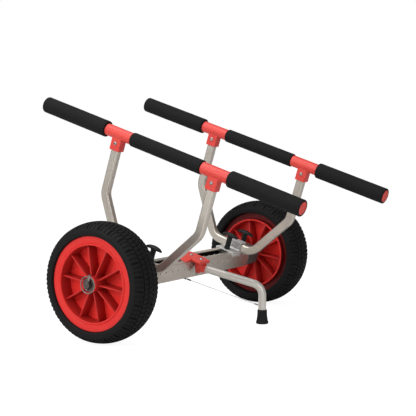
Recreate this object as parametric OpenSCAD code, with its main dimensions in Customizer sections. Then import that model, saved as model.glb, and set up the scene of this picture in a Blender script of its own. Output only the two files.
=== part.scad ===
// Two-wheeled kayak cart, standing on its wheels and its kickstand.
// X runs along the crossbeam, Y along the padded bars, Z is up and the ground is at zero.
// The cart is drawn level about its axle line, then tilted until the kickstand foot is down.

/* [Stance] */
// Tilt of the cart on its kickstand, in degrees
tilt = 17.5; // [12:0.5:22]

/* [Wheels] */
// Diameter over the tyre
wheel_dia = 262; // [240:1:284]
// Width over the tyre
wheel_w = 85; // [70:1:95]
// Distance between the middle planes of the two wheels
track = 664; // [620:1:760]
// Radius of the tyre's shoulders
shoulder_r = 20; // [14:1:24]
// Radius of the tyre's crown across the tread
crown_r = 90; // [75:1:120]
// Number of main grooves across each shoulder of the tread
tread_grooves = 26; // [18:1:32]
// Depth of the tread's main grooves
tread_deep = 1.9; // [1:0.1:2.5]
// Outer radius of the rim's flanges
flange_r = 102; // [95:1:104]
// Inner radius of the rim's barrel
barrel_r = 82; // [76:1:84]
// Width of the rim's barrel, with the outer flange flush at one end
rim_w = 70; // [60:1:74]
// How far the flange on the crossbeam's side is set in from the rim's edge
flange_set = 14; // [0:1:18]
// Number of spoke ribs on each side of the web
ribs = 10; // [6:1:14]
// Thickness of a spoke rib
rib_t = 3; // [2:0.5:5]
// Thickness of the web between the ribs
web_t = 6; // [4:1:10]
// Outer radius of the hub
hub_r = 17; // [15:0.5:22]
// Length of the hub without its bush flanges
hub_len = 82; // [76:1:84]

/* [Axle] */
// Diameter of the stub axles
axle_dia = 16; // [12:0.5:20]
// Radial running clearance of the bush on the axle
axle_fit = 0.05; // [0.02:0.01:0.1]
// How far the axle stands out past the washer
axle_out = 10; // [9:0.5:16]
// Wall of the hub bush
bush_wall = 2; // [1.5:0.5:3]
// Thickness of the axle washers
washer_t = 2; // [1:0.5:3]
// Outer diameter of the axle washers
washer_dia = 30; // [26:1:34]
// Diameter of the linch pin
linch_dia = 5; // [4:0.5:6]
// Diameter of the linch pin's ring, to the middle of its wire
linch_ring_dia = 36; // [32:1:44]
// Diameter of the ring's wire
linch_wire = 2.4; // [2:0.2:3]

/* [Crossbeam] */
// Length of the aluminium channel
beam_len = 490; // [440:2:520]
// Depth of the channel, along the bars
beam_d = 44; // [38:1:50]
// Height of the channel
beam_h = 42; // [36:1:48]
// Wall of the channel
beam_wall = 3; // [2:0.5:4]
// Width of each lip beside the top slot
beam_lip = 11; // [8:0.5:13]
// Distance between two holes of the row in the channel's walls
hole_pitch = 24; // [18:1:30]
// Number of holes on each side of the middle one
hole_side = 8; // [4:1:8]
// Diameter of those holes
hole_dia = 4.5; // [3:0.5:6]
// Height of the row of holes above the axle line
hole_z = 4; // [0:1:8]
// Height of the upright slot under the kickstand bracket
key_h = 12; // [8:1:14]
// How much an end block stands proud of the channel all round
block_proud = 1.5; // [1:0.5:3]
// Chamfer along the edges of an end block
block_chamfer = 9; // [4:1:12]
// Length of an end block inside the channel
block_plug = 50; // [40:1:60]

/* [Side frames] */
// Distance from the middle of the cart to each side frame
frame_x = 199; // [150:1:199]
// Shift of the side frames and bars along Y
bar_shift = 6; // [0:1:10]
// Height of the bars' middle line above the axle line
bar_z = 283; // [250:1:310]
// Tube size in the plane of the frame
tube_a = 20; // [18:0.5:24]
// Tube size across the plane of the frame
tube_b = 16; // [14:0.5:18]
// Corner radius of the tube section
tube_r = 4; // [3:0.5:6]
// Wall of the frame tube
tube_wall = 1.6; // [1:0.1:2.5]
// Height above the axle line where the arms bend inwards
arm_bend_z = 143; // [120:1:170]
// Slant of the lower arms from upright, in degrees
arm_slant = 33.5; // [25:0.5:40]
// Bend radius of the frame tube, to its middle line
frame_bend_r = 38; // [30:1:45]
// Clearance of the sliding frame over the crossbeam
slide_gap = 0.3; // [0.2:0.05:0.5]

/* [Clamps] */
// Half length of a clamp along the crossbeam
clamp_half = 45.5; // [42:0.5:45.5]
// Thickness of the clamp's plate
clamp_t = 3.5; // [2.5:0.5:5]
// Depth of the lips that hook over the channel's top edges
clamp_lip = 7; // [4:1:9]
// Distance from the tube to each clamping knob
knob_x = 36; // [34:1:38]
// Length of a knob's stem
knob_stem = 34; // [26:1:38]
// Length of a knob's wing
knob_wing = 46; // [38:1:48]
// Width of a knob's wing
knob_w = 15; // [12:1:18]
// Diameter of the threaded studs
stud_dia = 8; // [6:0.5:9]

/* [Padded bars] */
// Length of each bar over its end caps
bar_len = 700; // [620:5:760]
// Diameter of the bar's inner tube
bar_dia = 22; // [18:0.5:24]
// Wall of the bar's inner tube
bar_wall = 1.5; // [1:0.1:2.5]
// Distance between the two tee connectors
tee_span = 264; // [240:2:300]
// Length of a tee connector's sleeve
tee_len = 72; // [60:1:84]
// Outer diameter of a tee connector's sleeve
tee_dia = 27; // [25:0.5:30]
// Size of a tee's socket along the bar
socket_a = 26; // [25:0.5:30]
// Size of a tee's socket across the bar
socket_b = 21; // [20:0.5:26]
// Depth of the socket's mouth below the bar's middle line
socket_drop = 38; // [34:1:44]
// Depth of the socket's screw below the bar's middle line
screw_drop = 21; // [19:1:26]
// Outer diameter of the end foam sleeves
foam_end_dia = 37; // [34:0.5:42]
// Outer diameter of the middle foam sleeve
foam_mid_dia = 32; // [30:0.5:36]
// Diameter of the bars' end caps
cap_dia = 29; // [26:0.5:31]
// Thickness of an end cap's face
cap_t = 3; // [2:0.5:4]

/* [Kickstand] */
// Place of the kickstand's pivot along the crossbeam
pivot_x = -5; // [-10:1:10]
// Distance of the pivot in front of the channel's face
pivot_out = 12; // [12:0.5:16]
// Height of the kickstand tube above the axle line
stand_z = 10; // [9:0.5:11]
// Swing of the kickstand from square, in degrees
stand_skew = 24; // [15:1:28]
// Distance from the pivot to the corner of the kickstand tube
stand_reach = 154; // [145:1:175]
// Diameter of the kickstand tube
stand_dia = 18; // [16:0.5:19]
// Wall of the kickstand tube
stand_wall = 1.5; // [1:0.1:2.5]
// Bend radius of the kickstand tube, to its middle line
stand_bend_r = 28; // [24:1:32]
// Height of the rubber foot
foot_h = 33; // [28:1:38]
// Diameter of the rubber foot at the ground
foot_dia = 28; // [26:0.5:32]
// Diameter of the rubber foot's neck
foot_neck = 21.5; // [20.5:0.5:24]
// Thickness of the foot's sole
foot_sole = 6; // [4:1:8]
// Height of the bracket's top above the channel
bracket_h = 8; // [7:0.5:10]
// Width of the bracket's flat top
bracket_w = 42; // [36:1:48]
// Width of the bracket where it sits on the channel
bracket_base_w = 86; // [70:2:88]
// Diameter of the pivot screw
pivot_dia = 6; // [5:0.5:7]
// Diameter of the stay cable
cable_dia = 1.6; // [1.2:0.1:2]
// Place of the cable's eye along the crossbeam
eye_x = -20; // [-40:1:-10]
// Height of the cable's lower end above the ground
cable_z = 40; // [38:1:44]

/* [Hidden] */
$fn = 64;
fine = 0.2;
touch = 0.1;
seam = 0.02;

wheel_r = wheel_dia / 2;
half_w = wheel_w / 2;
half_track = track / 2;
half_rim = rim_w / 2;
half_beam = beam_len / 2;
beam_top = beam_h / 2;
beam_face = beam_d / 2;
axle_r = axle_dia / 2;

// The bars' middle lies over the origin along Y
y_shift = bar_z * sin(tilt) - bar_shift * cos(tilt);

// Tyre section: half of its outline from the middle of the crown to the flange
shoulder_x = half_w - shoulder_r;
crown_c = wheel_r - crown_r;
shoulder_c = crown_c + sqrt(pow(crown_r - shoulder_r, 2) - pow(shoulder_x, 2));
tangent_at = atan2(shoulder_c - crown_c, shoulder_x);
crown_half = [for (k = [1 : 4]) let (a = 90 - (90 - tangent_at) * k / 4)
    [crown_r * cos(a), crown_c + crown_r * sin(a)]];
shoulder_half = [for (k = [1 : 5]) let (a = tangent_at * (1 - k / 5))
    [shoulder_x + shoulder_r * cos(a), shoulder_c + shoulder_r * sin(a)]];
tyre_half = concat(crown_half, shoulder_half, [[half_w, flange_r + touch]]);
tyre_other = [for (k = [len(tyre_half) - 1 : -1 : 0]) [-tyre_half[k][0], tyre_half[k][1]]];

// Radius of the crown at a distance from its middle
function tread_at(x) = crown_c + sqrt(crown_r * crown_r - x * x);

// Rim sections
barrel_wall = 4;
flange_t = 4;
lip_ring = 1.5;
bead_r = barrel_r + barrel_wall;

// Stations along a stub axle, measured from the wheel's middle plane
bush_flange_t = 1.2;
bush_end = hub_len / 2 + bush_flange_t;
washer_in = bush_end + 0.3;
axle_end = washer_in + washer_t + axle_out;
linch_at = washer_in + washer_t + linch_dia / 2 + 1;
block_end = half_track - washer_in - washer_t;

// Tube and clamp stations
tube_z = beam_top + slide_gap + tube_a / 2;
hat_gap = 0.3;
hat_top = tube_z + tube_a / 2 + hat_gap;
plate_z = beam_top + slide_gap;
arm_y = tee_span / 2;
slant_y = (arm_bend_z - tube_z) * tan(arm_slant);
slant_len = (arm_bend_z - tube_z) / cos(arm_slant);
floor_slant = 90 - arm_slant;
t_up = frame_bend_r * tan(arm_slant / 2);
t_low = frame_bend_r * tan(floor_slant / 2);
arm_top = bar_z - bar_dia / 2 - 4;
arm_len = arm_top - arm_bend_z - t_up;
low_len = slant_len - t_up - t_low;
base_len = 2 * (arm_y - slant_y - t_low);
frame_path = [[arm_len, arm_slant], [low_len, floor_slant], [base_len, floor_slant],
    [low_len, arm_slant], [arm_len, 0]];

// Slide nuts run under the channel's lips
nut_t = 5;
nut_half = 9.5;
nut_gap = 0.3;
nut_top = beam_top - beam_wall - nut_gap;
stud_end = nut_top - nut_t;
plug_top = stud_end - slide_gap;
knob_foot = plate_z + clamp_t + slide_gap;

// Kickstand stations
pivot_y = -beam_face - pivot_out;
drop = asin(cos(stand_skew) * sin(tilt));
heading = atan2(sin(stand_skew), cos(stand_skew) * cos(tilt));
stand_turn = 90 - drop;
stand_tan = stand_bend_r * tan(stand_turn / 2);
corner_y = pivot_y - stand_reach * cos(stand_skew);
corner_z = wheel_r + corner_y * sin(tilt) + stand_z * cos(tilt);
leg_len = corner_z - foot_sole - fine;
corner_out = stand_reach;
knuckle_r = 12;
knuckle_gap = 0.3;
knuckle_top = beam_top - knuckle_gap;
knuckle_low = stand_z - stand_dia / 2 - 5;
socket_wall = 3;
bracket_front = pivot_y - knuckle_r - 1;
bracket_back = 14;
tube_start = 9;
mouth_out = 16;

// Stay cable's two ends in the cart's own axes
eye_y = -beam_face + 7;
eye_z = -beam_top - 4;
eye_shank = 3.5;
leg_x = pivot_x + stand_reach * sin(stand_skew);
leg_rise = corner_z - cable_z;
leg_y = corner_y - leg_rise * sin(tilt);
leg_z = stand_z - leg_rise * cos(tilt);
cable_a = [eye_x, eye_y, eye_z];
cable_b = [leg_x, leg_y, leg_z];
cable_run = cable_b - cable_a;
cable_span = norm(cable_run);
cable_turn = atan2(cable_run[1], cable_run[0]);
cable_lean = acos(cable_run[2] / cable_span);
ferrule_len = 10;
ferrule_dia = 3.6;
cable_seat = stand_dia / 2 + 1;
eye_clear = 4;

red = [0.86, 0.2, 0.18];
alu = [0.78, 0.76, 0.73];
dark = [0.25, 0.26, 0.26];
black = [0.12, 0.12, 0.12];
foam = [0.14, 0.14, 0.14];
steel = [0.66, 0.67, 0.68];

// Places what is drawn level about the axle line into the standing cart
module standing() {
    translate([0, y_shift, wheel_r]) rotate([tilt, 0, 0]) children();
}

// Puts a piece of the right side on the given side
module on_side(side) {
    if (side > 0) children();
    else mirror([1, 0, 0]) children();
}

// Lays something turned about Z along the X axis
module along_x() {
    rotate([0, 90, 0]) children();
}

// Lays something turned about Z along the bars
module along_y() {
    rotate([90, 0, 0]) children();
}

// Flat ring
module ring(r_out, r_in, h) {
    difference() {
        cylinder(r = r_out, h = h);
        translate([0, 0, -1]) cylinder(r = r_in, h = h + 2);
    }
}

// Rectangle with round corners
module round_rect(a, b, r) {
    square([a - 2 * r, b], center = true);
    square([a, b - 2 * r], center = true);
    for (i = [-1, 1], j = [-1, 1])
        translate([i * (a / 2 - r), j * (b / 2 - r)]) circle(r = r);
}

// Sweeps a hollow section along straights and bends, every bend turning to the section's left.
// A bend runs a little way into the straights at its ends, where its wall lies just inside theirs.
module sweep_path(path, r, i = 0) {
    over = path[i][1] > 0 ? 1 : 0;
    if (path[i][0] > 0) linear_extrude(path[i][0]) let ($inset = 0) children();
    translate([0, 0, path[i][0]]) {
        if (path[i][1] > 0)
            translate([-r, 0, 0]) rotate([90, over, 0]) rotate_extrude(angle = path[i][1] + 2 * over)
                translate([r, 0]) let ($inset = seam) children();
        if (i + 1 < len(path))
            translate([r * (cos(path[i][1]) - 1), 0, r * sin(path[i][1])]) rotate([0, -path[i][1], 0])
                sweep_path(path, r, i + 1) children();
    }
}

// Rounded rectangular tube wall
module tube_wall_flat() {
    in = tube_a - 2 * tube_wall + 2 * $inset;
    difference() {
        round_rect(tube_a - 2 * $inset, tube_b - 2 * $inset, tube_r);
        round_rect(in, in + tube_b - tube_a, tube_r - tube_wall);
    }
}

// Round tube wall
module round_wall_flat(d, wall) {
    difference() {
        circle(d = d - 2 * $inset);
        circle(d = d - 2 * wall + 2 * $inset);
    }
}

// Channel open at the top, with its row of holes
module crossbeam() {
    inner_d = beam_d - 2 * beam_wall;
    slot_w = beam_d - 2 * beam_lip;
    color(alu) standing() difference() {
        translate([-half_beam, 0, 0]) rotate([90, 0, 90]) linear_extrude(beam_len) difference() {
            round_rect(beam_d, beam_h, 1.5);
            square([inner_d, beam_h - 2 * beam_wall], center = true);
            translate([-slot_w / 2, 0]) square([slot_w, beam_h]);
        }
        for (i = [-hole_side : hole_side])
            translate([i * hole_pitch, beam_d, hole_z]) along_y() cylinder(d = hole_dia, h = 2 * beam_d);
        translate([pivot_x + 25, -beam_face - 1, -key_h / 2 - 2]) {
            for (s = [-1, 1])
                translate([0, 0, s * (key_h / 2 - 2.5)]) rotate([-90, 0, 0]) cylinder(r = 2.5, h = beam_wall + 2);
            translate([-2.5, 0, -key_h / 2 + 2.5]) cube([5, beam_wall + 2, key_h - 5]);
        }
        for (x = [-1, 1], k = [0, 1])
            translate([x * (half_beam - 12 - 26 * k), 0, -beam_h]) cylinder(d = 5.4, h = beam_h);
        translate([eye_x, eye_y, -beam_h]) cylinder(d = eye_shank + fine, h = beam_h);
    }
}

// Dark plastic block that closes a channel end and holds the stub axle
module end_block(side) {
    head_d = beam_d + 2 * block_proud;
    head_h = beam_h + 2 * block_proud;
    c = block_chamfer;
    color(dark) standing() on_side(side) difference() {
        union() {
            translate([half_beam, 0, 0]) rotate([90, 0, 90]) linear_extrude(block_end - half_beam)
                polygon([[-head_d / 2 + c, -head_h / 2], [head_d / 2 - c, -head_h / 2],
                    [head_d / 2, -head_h / 2 + c], [head_d / 2, head_h / 2 - c],
                    [head_d / 2 - c, head_h / 2], [-head_d / 2 + c, head_h / 2],
                    [-head_d / 2, head_h / 2 - c], [-head_d / 2, -head_h / 2 + c]]);
            translate([half_beam - block_plug, -(beam_face - beam_wall - touch), -(beam_top - beam_wall - touch)])
                cube([block_plug + 1, beam_d - 2 * beam_wall - 2 * touch, plug_top + beam_top - beam_wall - touch]);
        }
        translate([half_beam - block_plug - 1, 0, 0]) along_x()
            cylinder(r = axle_r + axle_fit, h = block_plug + block_end);
        translate([half_beam - block_plug / 2, 0, -beam_h]) cylinder(d = 5, h = 2 * beam_h);
        for (k = [0, 1])
            translate([half_beam - 12 - 26 * k, 0, -beam_h]) cylinder(d = 4.2, h = beam_h - axle_r - 2);
    }
}

// Countersunk screws from below that hold the two end blocks in the channel
module block_screws() {
    color(steel) standing() for (side = [-1, 1], k = [0, 1])
        translate([side * (half_beam - 12 - 26 * k), 0, -beam_top - 1.6]) {
            cylinder(d = 9, h = 1.6);
            cylinder(d = 4, h = 9);
        }
}

// Steel stub axle with a cross hole for the linch pin
module axle(side) {
    start = half_beam - block_plug + 2;
    color(steel) standing() on_side(side) difference() {
        union() {
            translate([start, 0, 0]) along_x() cylinder(r = axle_r, h = half_track + axle_end - 1.5 - start);
            translate([half_track + axle_end - 1.5, 0, 0]) along_x()
                cylinder(r1 = axle_r, r2 = axle_r - 1.5, h = 1.5);
        }
        translate([half_track + linch_at, 0, -axle_dia])
            cylinder(d = linch_dia + 0.2, h = 2 * axle_dia);
        translate([half_beam - block_plug / 2, 0, -axle_dia]) cylinder(d = 5, h = 2 * axle_dia);
    }
}

// Upright pins that lock the stub axles in their blocks
module axle_pins() {
    color(steel) standing() for (side = [-1, 1])
        translate([side * (half_beam - block_plug / 2), 0, -(beam_top - beam_wall - 1)])
            cylinder(d = 4.9, h = plug_top + beam_top - beam_wall - 1);
}

// Plain washers at both ends of a hub
module axle_washers(side) {
    color(steel) standing() on_side(side) for (x = [-washer_in - washer_t, washer_in])
        translate([half_track + x, 0, 0]) along_x() ring(washer_dia / 2, axle_r + touch, washer_t);
}

// Linch pin through the axle's end, with the wire ring that snaps over it
module linch_pin(side) {
    ring_r = linch_ring_dia / 2;
    color(steel) standing() on_side(side) translate([half_track + linch_at, 0, 0]) {
        translate([0, 0, -axle_r - 4]) cylinder(d = linch_dia, h = 2 * axle_r + 8);
        translate([0, 0, axle_r + 3]) cylinder(d = linch_dia + 1.6, h = ring_r - axle_r + 1);
        along_x() rotate_extrude() translate([ring_r, 0]) circle(d = linch_wire, $fn = 24);
    }
}

// Solid rubber tyre: grooved crown and shoulders, and a bead that fills the rim
module tyre(side) {
    groove_w = 1.8;
    bead_out = -half_rim + flange_t + touch;
    bead_in = half_rim - flange_t - flange_set - touch;
    bead = [[bead_in, flange_r + touch], [bead_in, bead_r + touch],
        [bead_out, bead_r + touch], [bead_out, flange_r + touch]];
    color(black) standing() on_side(side) translate([half_track, 0, 0]) along_x() difference() {
        rotate_extrude($fn = 120) rotate(-90) difference() {
            polygon(concat([[0, wheel_r]], tyre_half, bead, tyre_other));
            for (x = [8.2, 22.2], s = [-1, 1])
                translate([s * x - groove_w / 2, tread_at(x) - tread_deep]) square([groove_w, 9]);
        }
        for (s = [-1, 1], k = [0 : tread_grooves - 1])
            rotate((k + (s > 0 ? 0.5 : 0)) * 360 / tread_grooves)
                translate([shoulder_c + shoulder_r * sin(48), 0, s * (shoulder_x + shoulder_r * cos(48))])
                    rotate([0, -s * 48, 0]) translate([-tread_deep, -1.3, -10]) cube([12, 2.6, 20]);
    }
}

// Red plastic rim: barrel, two stepped flanges, web, spoke ribs and hub
module rim(side) {
    rib_h = (rim_w - web_t) / 2 - 2;
    color(red) standing() on_side(side) translate([half_track, 0, 0]) along_x() difference() {
        union() {
            rotate_extrude($fn = 120) rotate(-90) {
                translate([-half_rim, barrel_r]) square([rim_w, barrel_wall]);
                for (x = [-half_rim, half_rim - flange_t - flange_set])
                    translate([x, barrel_r]) square([flange_t, flange_r - barrel_r]);
                for (s = [-1, 1])
                    translate([s * (half_rim + lip_ring / 2 - fine) - lip_ring / 2, barrel_r])
                        square([lip_ring, 3]);
                translate([-web_t / 2, hub_r - 1]) square([web_t, barrel_r - hub_r + 2]);
            }
            cylinder(r = hub_r, h = hub_len, center = true);
            for (k = [0 : ribs - 1])
                rotate(k * 360 / ribs) translate([hub_r - 2, -rib_t / 2, -web_t / 2 - rib_h])
                    cube([barrel_r - hub_r + 3, rib_t, web_t + 2 * rib_h]);
        }
        cylinder(r = axle_r + axle_fit + bush_wall + touch, h = wheel_w + 2, center = true);
    }
}

// Flanged steel bushes pressed into the two ends of a hub
module hub_bushes(side) {
    bore = axle_r + axle_fit;
    color(steel) standing() on_side(side) translate([half_track, 0, 0]) for (s = [-1, 1])
        rotate([0, s * 90, 0]) difference() {
            union() {
                translate([0, 0, hub_len / 2 - 26]) cylinder(r = bore + bush_wall, h = 26 + bush_flange_t);
                translate([0, 0, hub_len / 2]) cylinder(r = hub_r - 3, h = bush_flange_t);
            }
            translate([0, 0, hub_len / 2 - 27]) cylinder(r = bore, h = 30);
        }
}

// Moves a piece to its side frame, with the frame's middle plane at zero
module at_frame(side) {
    standing() translate([side * frame_x, bar_shift, 0]) children();
}

// One bent tube: two upright arms, two slanted arms and a level base
module side_frame(side) {
    color(alu) at_frame(side) translate([0, arm_y, arm_top]) rotate([180, 0, 90])
        sweep_path(frame_path, frame_bend_r) tube_wall_flat();
}

// Hat-shaped aluminium clamp over the tube, hooked on the channel's edges
module clamp(side) {
    hat_in = tube_b / 2 + hat_gap;
    hat_out = hat_in + clamp_t;
    hat_wide = hat_out + 3;
    edge = beam_face + slide_gap;
    color(alu) standing() translate([side * frame_x, 0, 0]) difference() {
        union() {
            translate([0, beam_face, 0]) along_y() linear_extrude(beam_d) difference() {
                union() {
                    translate([-clamp_half, plate_z]) square([2 * clamp_half, clamp_t]);
                    polygon([[-hat_wide, plate_z], [-hat_out, plate_z + clamp_t + 4],
                        [-hat_out, hat_top + clamp_t], [hat_out, hat_top + clamp_t],
                        [hat_out, plate_z + clamp_t + 4], [hat_wide, plate_z]]);
                }
                translate([-hat_in, plate_z - 1]) square([2 * hat_in, hat_top - plate_z + 1]);
            }
            for (s = [-1, 1], t = [-1, 1])
                translate([t > 0 ? hat_in : -clamp_half, s > 0 ? edge : -edge - clamp_t, beam_top - clamp_lip])
                    cube([clamp_half - hat_in, clamp_t, clamp_lip + slide_gap + clamp_t]);
            for (s = [-1, 1], t = [-1, 1])
                translate([t > 0 ? hat_in : -clamp_half, s > 0 ? beam_face - 1 : -edge - 1, plate_z])
                    cube([clamp_half - hat_in, slide_gap + 2, clamp_t]);
        }
        for (s = [-1, 1])
            translate([s * knob_x, 0, plate_z - 1]) cylinder(d = stud_dia + 0.6, h = clamp_t + 2);
    }
}

// Two threaded plates under the channel's lips, drawn up by the knobs
module slide_nuts(side) {
    nut_d = beam_d - 2 * beam_wall - 2;
    color(steel) standing() for (s = [-1, 1])
        translate([side * frame_x + s * knob_x, 0, nut_top - nut_t]) difference() {
            translate([-nut_half, -nut_d / 2, 0]) cube([2 * nut_half, nut_d, nut_t]);
            translate([0, 0, -1]) cylinder(d = stud_dia + 0.1, h = nut_t + 2);
        }
}

// Knob with a long stem and a curved wing, moulded on a threaded stud
module knob(side, s) {
    wing_z = knob_foot + knob_stem;
    wing_r = knob_wing * 0.62;
    color(black) standing() translate([side * frame_x + side * s * knob_x, 0, 0]) {
        translate([0, 0, stud_end]) cylinder(d = stud_dia, h = knob_foot - stud_end + 10);
        translate([0, 0, knob_foot]) cylinder(r1 = 7.5, r2 = 6.5, h = knob_stem);
        translate([0, 0, wing_z - 4]) cylinder(r1 = 6.5, r2 = knob_w / 2, h = 4);
        intersection() {
            translate([-knob_w / 2, 0, wing_z + 7.5 - wing_r]) along_x() difference() {
                cylinder(r = wing_r, h = knob_w);
                translate([wing_r * 0.82, 0, -1]) cylinder(r = wing_r * 1.12, h = knob_w + 2);
            }
            translate([0, 0, wing_z - 12]) cylinder(d = knob_wing, h = 30);
        }
    }
}

// Aluminium tube inside a padded bar
module bar_tube(side) {
    color(alu) at_frame(side) translate([0, (bar_len - 2 * cap_t) / 2, bar_z]) along_y()
        ring(bar_dia / 2, bar_dia / 2 - bar_wall, bar_len - 2 * cap_t);
}

// Red tee: a sleeve round the bar and a socket down over the frame's arm
module tee(side, end) {
    mouth = 0.2;
    color(red) at_frame(side) translate([0, end * arm_y, bar_z]) difference() {
        union() {
            translate([0, tee_len / 2, 0]) along_y() cylinder(d = tee_dia, h = tee_len);
            translate([0, 0, -socket_drop]) linear_extrude(socket_drop) round_rect(socket_b, socket_a, 2.5);
        }
        translate([0, tee_len / 2 + 1, 0]) along_y() cylinder(r = bar_dia / 2 + touch, h = tee_len + 2);
        translate([0, 0, -socket_drop - 1]) linear_extrude(socket_drop + 1 - (bar_z - arm_top) + mouth)
            round_rect(tube_b + 2 * mouth, tube_a + 2 * mouth, tube_r);
        translate([-socket_b, 0, -screw_drop]) along_x() cylinder(d = 4.4, h = socket_b);
    }
}

// Pan-head screws that hold the arms in the tees
module tee_screws(side) {
    color(steel) at_frame(side) for (end = [-1, 1])
        translate([-socket_b / 2, end * arm_y, bar_z - screw_drop]) {
            translate([-2.6, 0, 0]) along_x() cylinder(d1 = 6.4, d2 = 8.6, h = 2.6);
            along_x() cylinder(d = 4, h = (socket_b - tube_b) / 2 - 0.3);
        }
}

// Foam sleeve with rounded ends between two stations along the bar.
// A sleeve at a bar's end, given as -1 or 1, is bored out there to take the end cap's face.
module foam_sleeve(side, from, to, dia, cup = 0) {
    edge = 2;
    inner = bar_dia / 2 + foam_gap;
    seat = cap_t + foam_gap;
    color(foam) at_frame(side) translate([0, to, bar_z]) along_y() rotate_extrude() difference() {
        union() {
            translate([inner, edge]) square([dia / 2 - inner, to - from - 2 * edge]);
            translate([inner, 0]) square([dia / 2 - edge - inner, to - from]);
            for (z = [edge, to - from - edge]) translate([dia / 2 - edge, z]) circle(r = edge, $fn = 32);
        }
        if (cup != 0)
            translate([0, cup > 0 ? -1 : to - from - seat + cap_proud])
                square([cap_dia / 2 + foam_gap, seat - cap_proud + 1]);
    }
}

// Red caps pressed into the two ends of a bar's tube
module end_caps(side) {
    plug = 18;
    color(red) at_frame(side) for (end = [-1, 1])
        translate([0, end * (bar_len / 2 - cap_t), bar_z]) rotate([-end * 90, 0, 0]) {
            cylinder(d = cap_dia, h = cap_t - 1);
            translate([0, 0, cap_t - 1]) cylinder(d1 = cap_dia, d2 = cap_dia - 2, h = 1);
            translate([0, 0, -plug]) cylinder(r = bar_dia / 2 - bar_wall - touch, h = plug);
        }
}

// Red bracket on the channel's top, with the overhang that carries the kickstand's pivot
module stand_bracket() {
    top = beam_top + bracket_h;
    foot_z = beam_top;
    color(red) standing() translate([pivot_x, 0, 0]) difference() {
        union() {
            translate([0, bracket_back, 0]) along_y() linear_extrude(bracket_back + beam_face)
                polygon([[-bracket_base_w / 2, foot_z], [-bracket_base_w / 2, foot_z + 1.5],
                    [-bracket_w / 2, top], [bracket_w / 2, top],
                    [bracket_base_w / 2, foot_z + 1.5], [bracket_base_w / 2, foot_z]]);
            translate([-bracket_w / 2, bracket_front, foot_z])
                cube([bracket_w, -beam_face - bracket_front, bracket_h]);
        }
        translate([0, pivot_y, 0]) cylinder(d = pivot_dia + 0.1, h = 2 * top);
        translate([0, pivot_y + 29, 0]) cylinder(d = 5.4, h = 2 * top);
    }
}

// Screw that holds the bracket down on a plate inside the channel
module bracket_screw() {
    plate_d = beam_d - 2 * beam_wall - 2;
    color(steel) standing() translate([pivot_x, pivot_y + 29, 0]) {
        translate([0, 0, beam_top + bracket_h]) cylinder(d = 9.5, h = 2.4);
        translate([0, 0, nut_top - 7]) cylinder(d = 5, h = beam_top + bracket_h - nut_top + 7);
        translate([-9, -pivot_y - 29 - plate_d / 2, nut_top - 5]) cube([18, plate_d, 5]);
    }
}

// Screw through the overhang and the knuckle, the kickstand's pivot
module pivot_screw() {
    color(steel) standing() translate([pivot_x, pivot_y, 0]) {
        translate([0, 0, beam_top + bracket_h]) cylinder(d = 10, h = 2.6);
        translate([0, 0, knuckle_low - 4]) cylinder(d = pivot_dia, h = beam_top + bracket_h - knuckle_low + 4);
        translate([0, 0, knuckle_low - 4.3]) cylinder(d = 10, h = 4);
    }
}

// Puts a piece at the kickstand's pivot, with -Y along the tube and Z straight up
module at_stand() {
    standing() translate([pivot_x, pivot_y, stand_z]) rotate([-tilt, 0, 0]) rotate([0, 0, heading])
        children();
}

// Red knuckle on the pivot screw, tapering down round the end of the tube
module stand_knuckle() {
    color(red) standing() translate([pivot_x, pivot_y, 0]) rotate([0, 0, stand_skew]) difference() {
        union() {
            translate([0, 0, stand_z]) cylinder(r = knuckle_r - 0.5, h = knuckle_top - stand_z);
            translate([0, 0, knuckle_low]) cylinder(r1 = 6, r2 = knuckle_r - 0.5, h = stand_z - knuckle_low);
            translate([0, 0, stand_z]) along_y() cylinder(r = stand_dia / 2 + socket_wall - 1, h = mouth_out);
        }
        translate([0, 0, knuckle_low - 1]) cylinder(r = pivot_dia / 2 + axle_fit, h = 2 * beam_top);
        translate([0, -tube_start, stand_z]) along_y() cylinder(r = stand_dia / 2 + touch, h = 40);
        translate([-beam_top, -beam_top * 2, knuckle_top]) cube([2 * beam_top, 3 * beam_top, beam_top]);
    }
}

// Bent round tube of the kickstand
module stand_tube() {
    path = [[corner_out - stand_tan - tube_start - fine, stand_turn], [leg_len - stand_tan, 0]];
    color(alu) at_stand() rotate([drop, 0, 0]) rotate([0, -90, 90])
        translate([0, 0, tube_start + fine]) sweep_path(path, stand_bend_r)
            round_wall_flat(stand_dia, stand_wall);
}

// Puts a piece on the ground under the kickstand's leg
module at_foot() {
    standing() translate([leg_x, corner_y, stand_z]) rotate([-tilt, 0, 0]) translate([0, 0, -corner_z])
        children();
}

// Rubber foot pushed over the leg's end
module stand_foot() {
    flare = 12;
    color(black) at_foot() difference() {
        union() {
            cylinder(d1 = foot_dia - 3, d2 = foot_dia, h = 2);
            translate([0, 0, 2]) cylinder(d = foot_dia, h = 4);
            translate([0, 0, 6]) cylinder(d1 = foot_dia, d2 = foot_neck + 1, h = flare);
            translate([0, 0, flare + 6]) cylinder(d = foot_neck + 1, h = foot_h - flare - 6 - 1);
            translate([0, 0, foot_h - 1]) cylinder(d1 = foot_neck + 1, d2 = foot_neck, h = 1);
        }
        translate([0, 0, foot_sole]) cylinder(r = stand_dia / 2 + touch, h = foot_h);
    }
}

// Screw eye under the channel that holds the stay cable
module cable_eye() {
    color(dark) standing() translate([eye_x, eye_y, 0]) {
        translate([0, 0, eye_z]) cylinder(d = 5, h = -beam_top - eye_z);
        translate([0, 0, -beam_top - 1]) cylinder(d = 8, h = 1);
        translate([0, 0, -beam_top]) cylinder(d = eye_shank, h = beam_wall + 4);
        translate([0, 0, eye_z]) sphere(d = 5.6, $fn = 32);
    }
}

// Draws something from one end of the cable towards the other
module along_cable(at) {
    standing() translate(cable_a) rotate([0, 0, cable_turn]) rotate([0, cable_lean, 0])
        translate([0, 0, at]) children();
}

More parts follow.
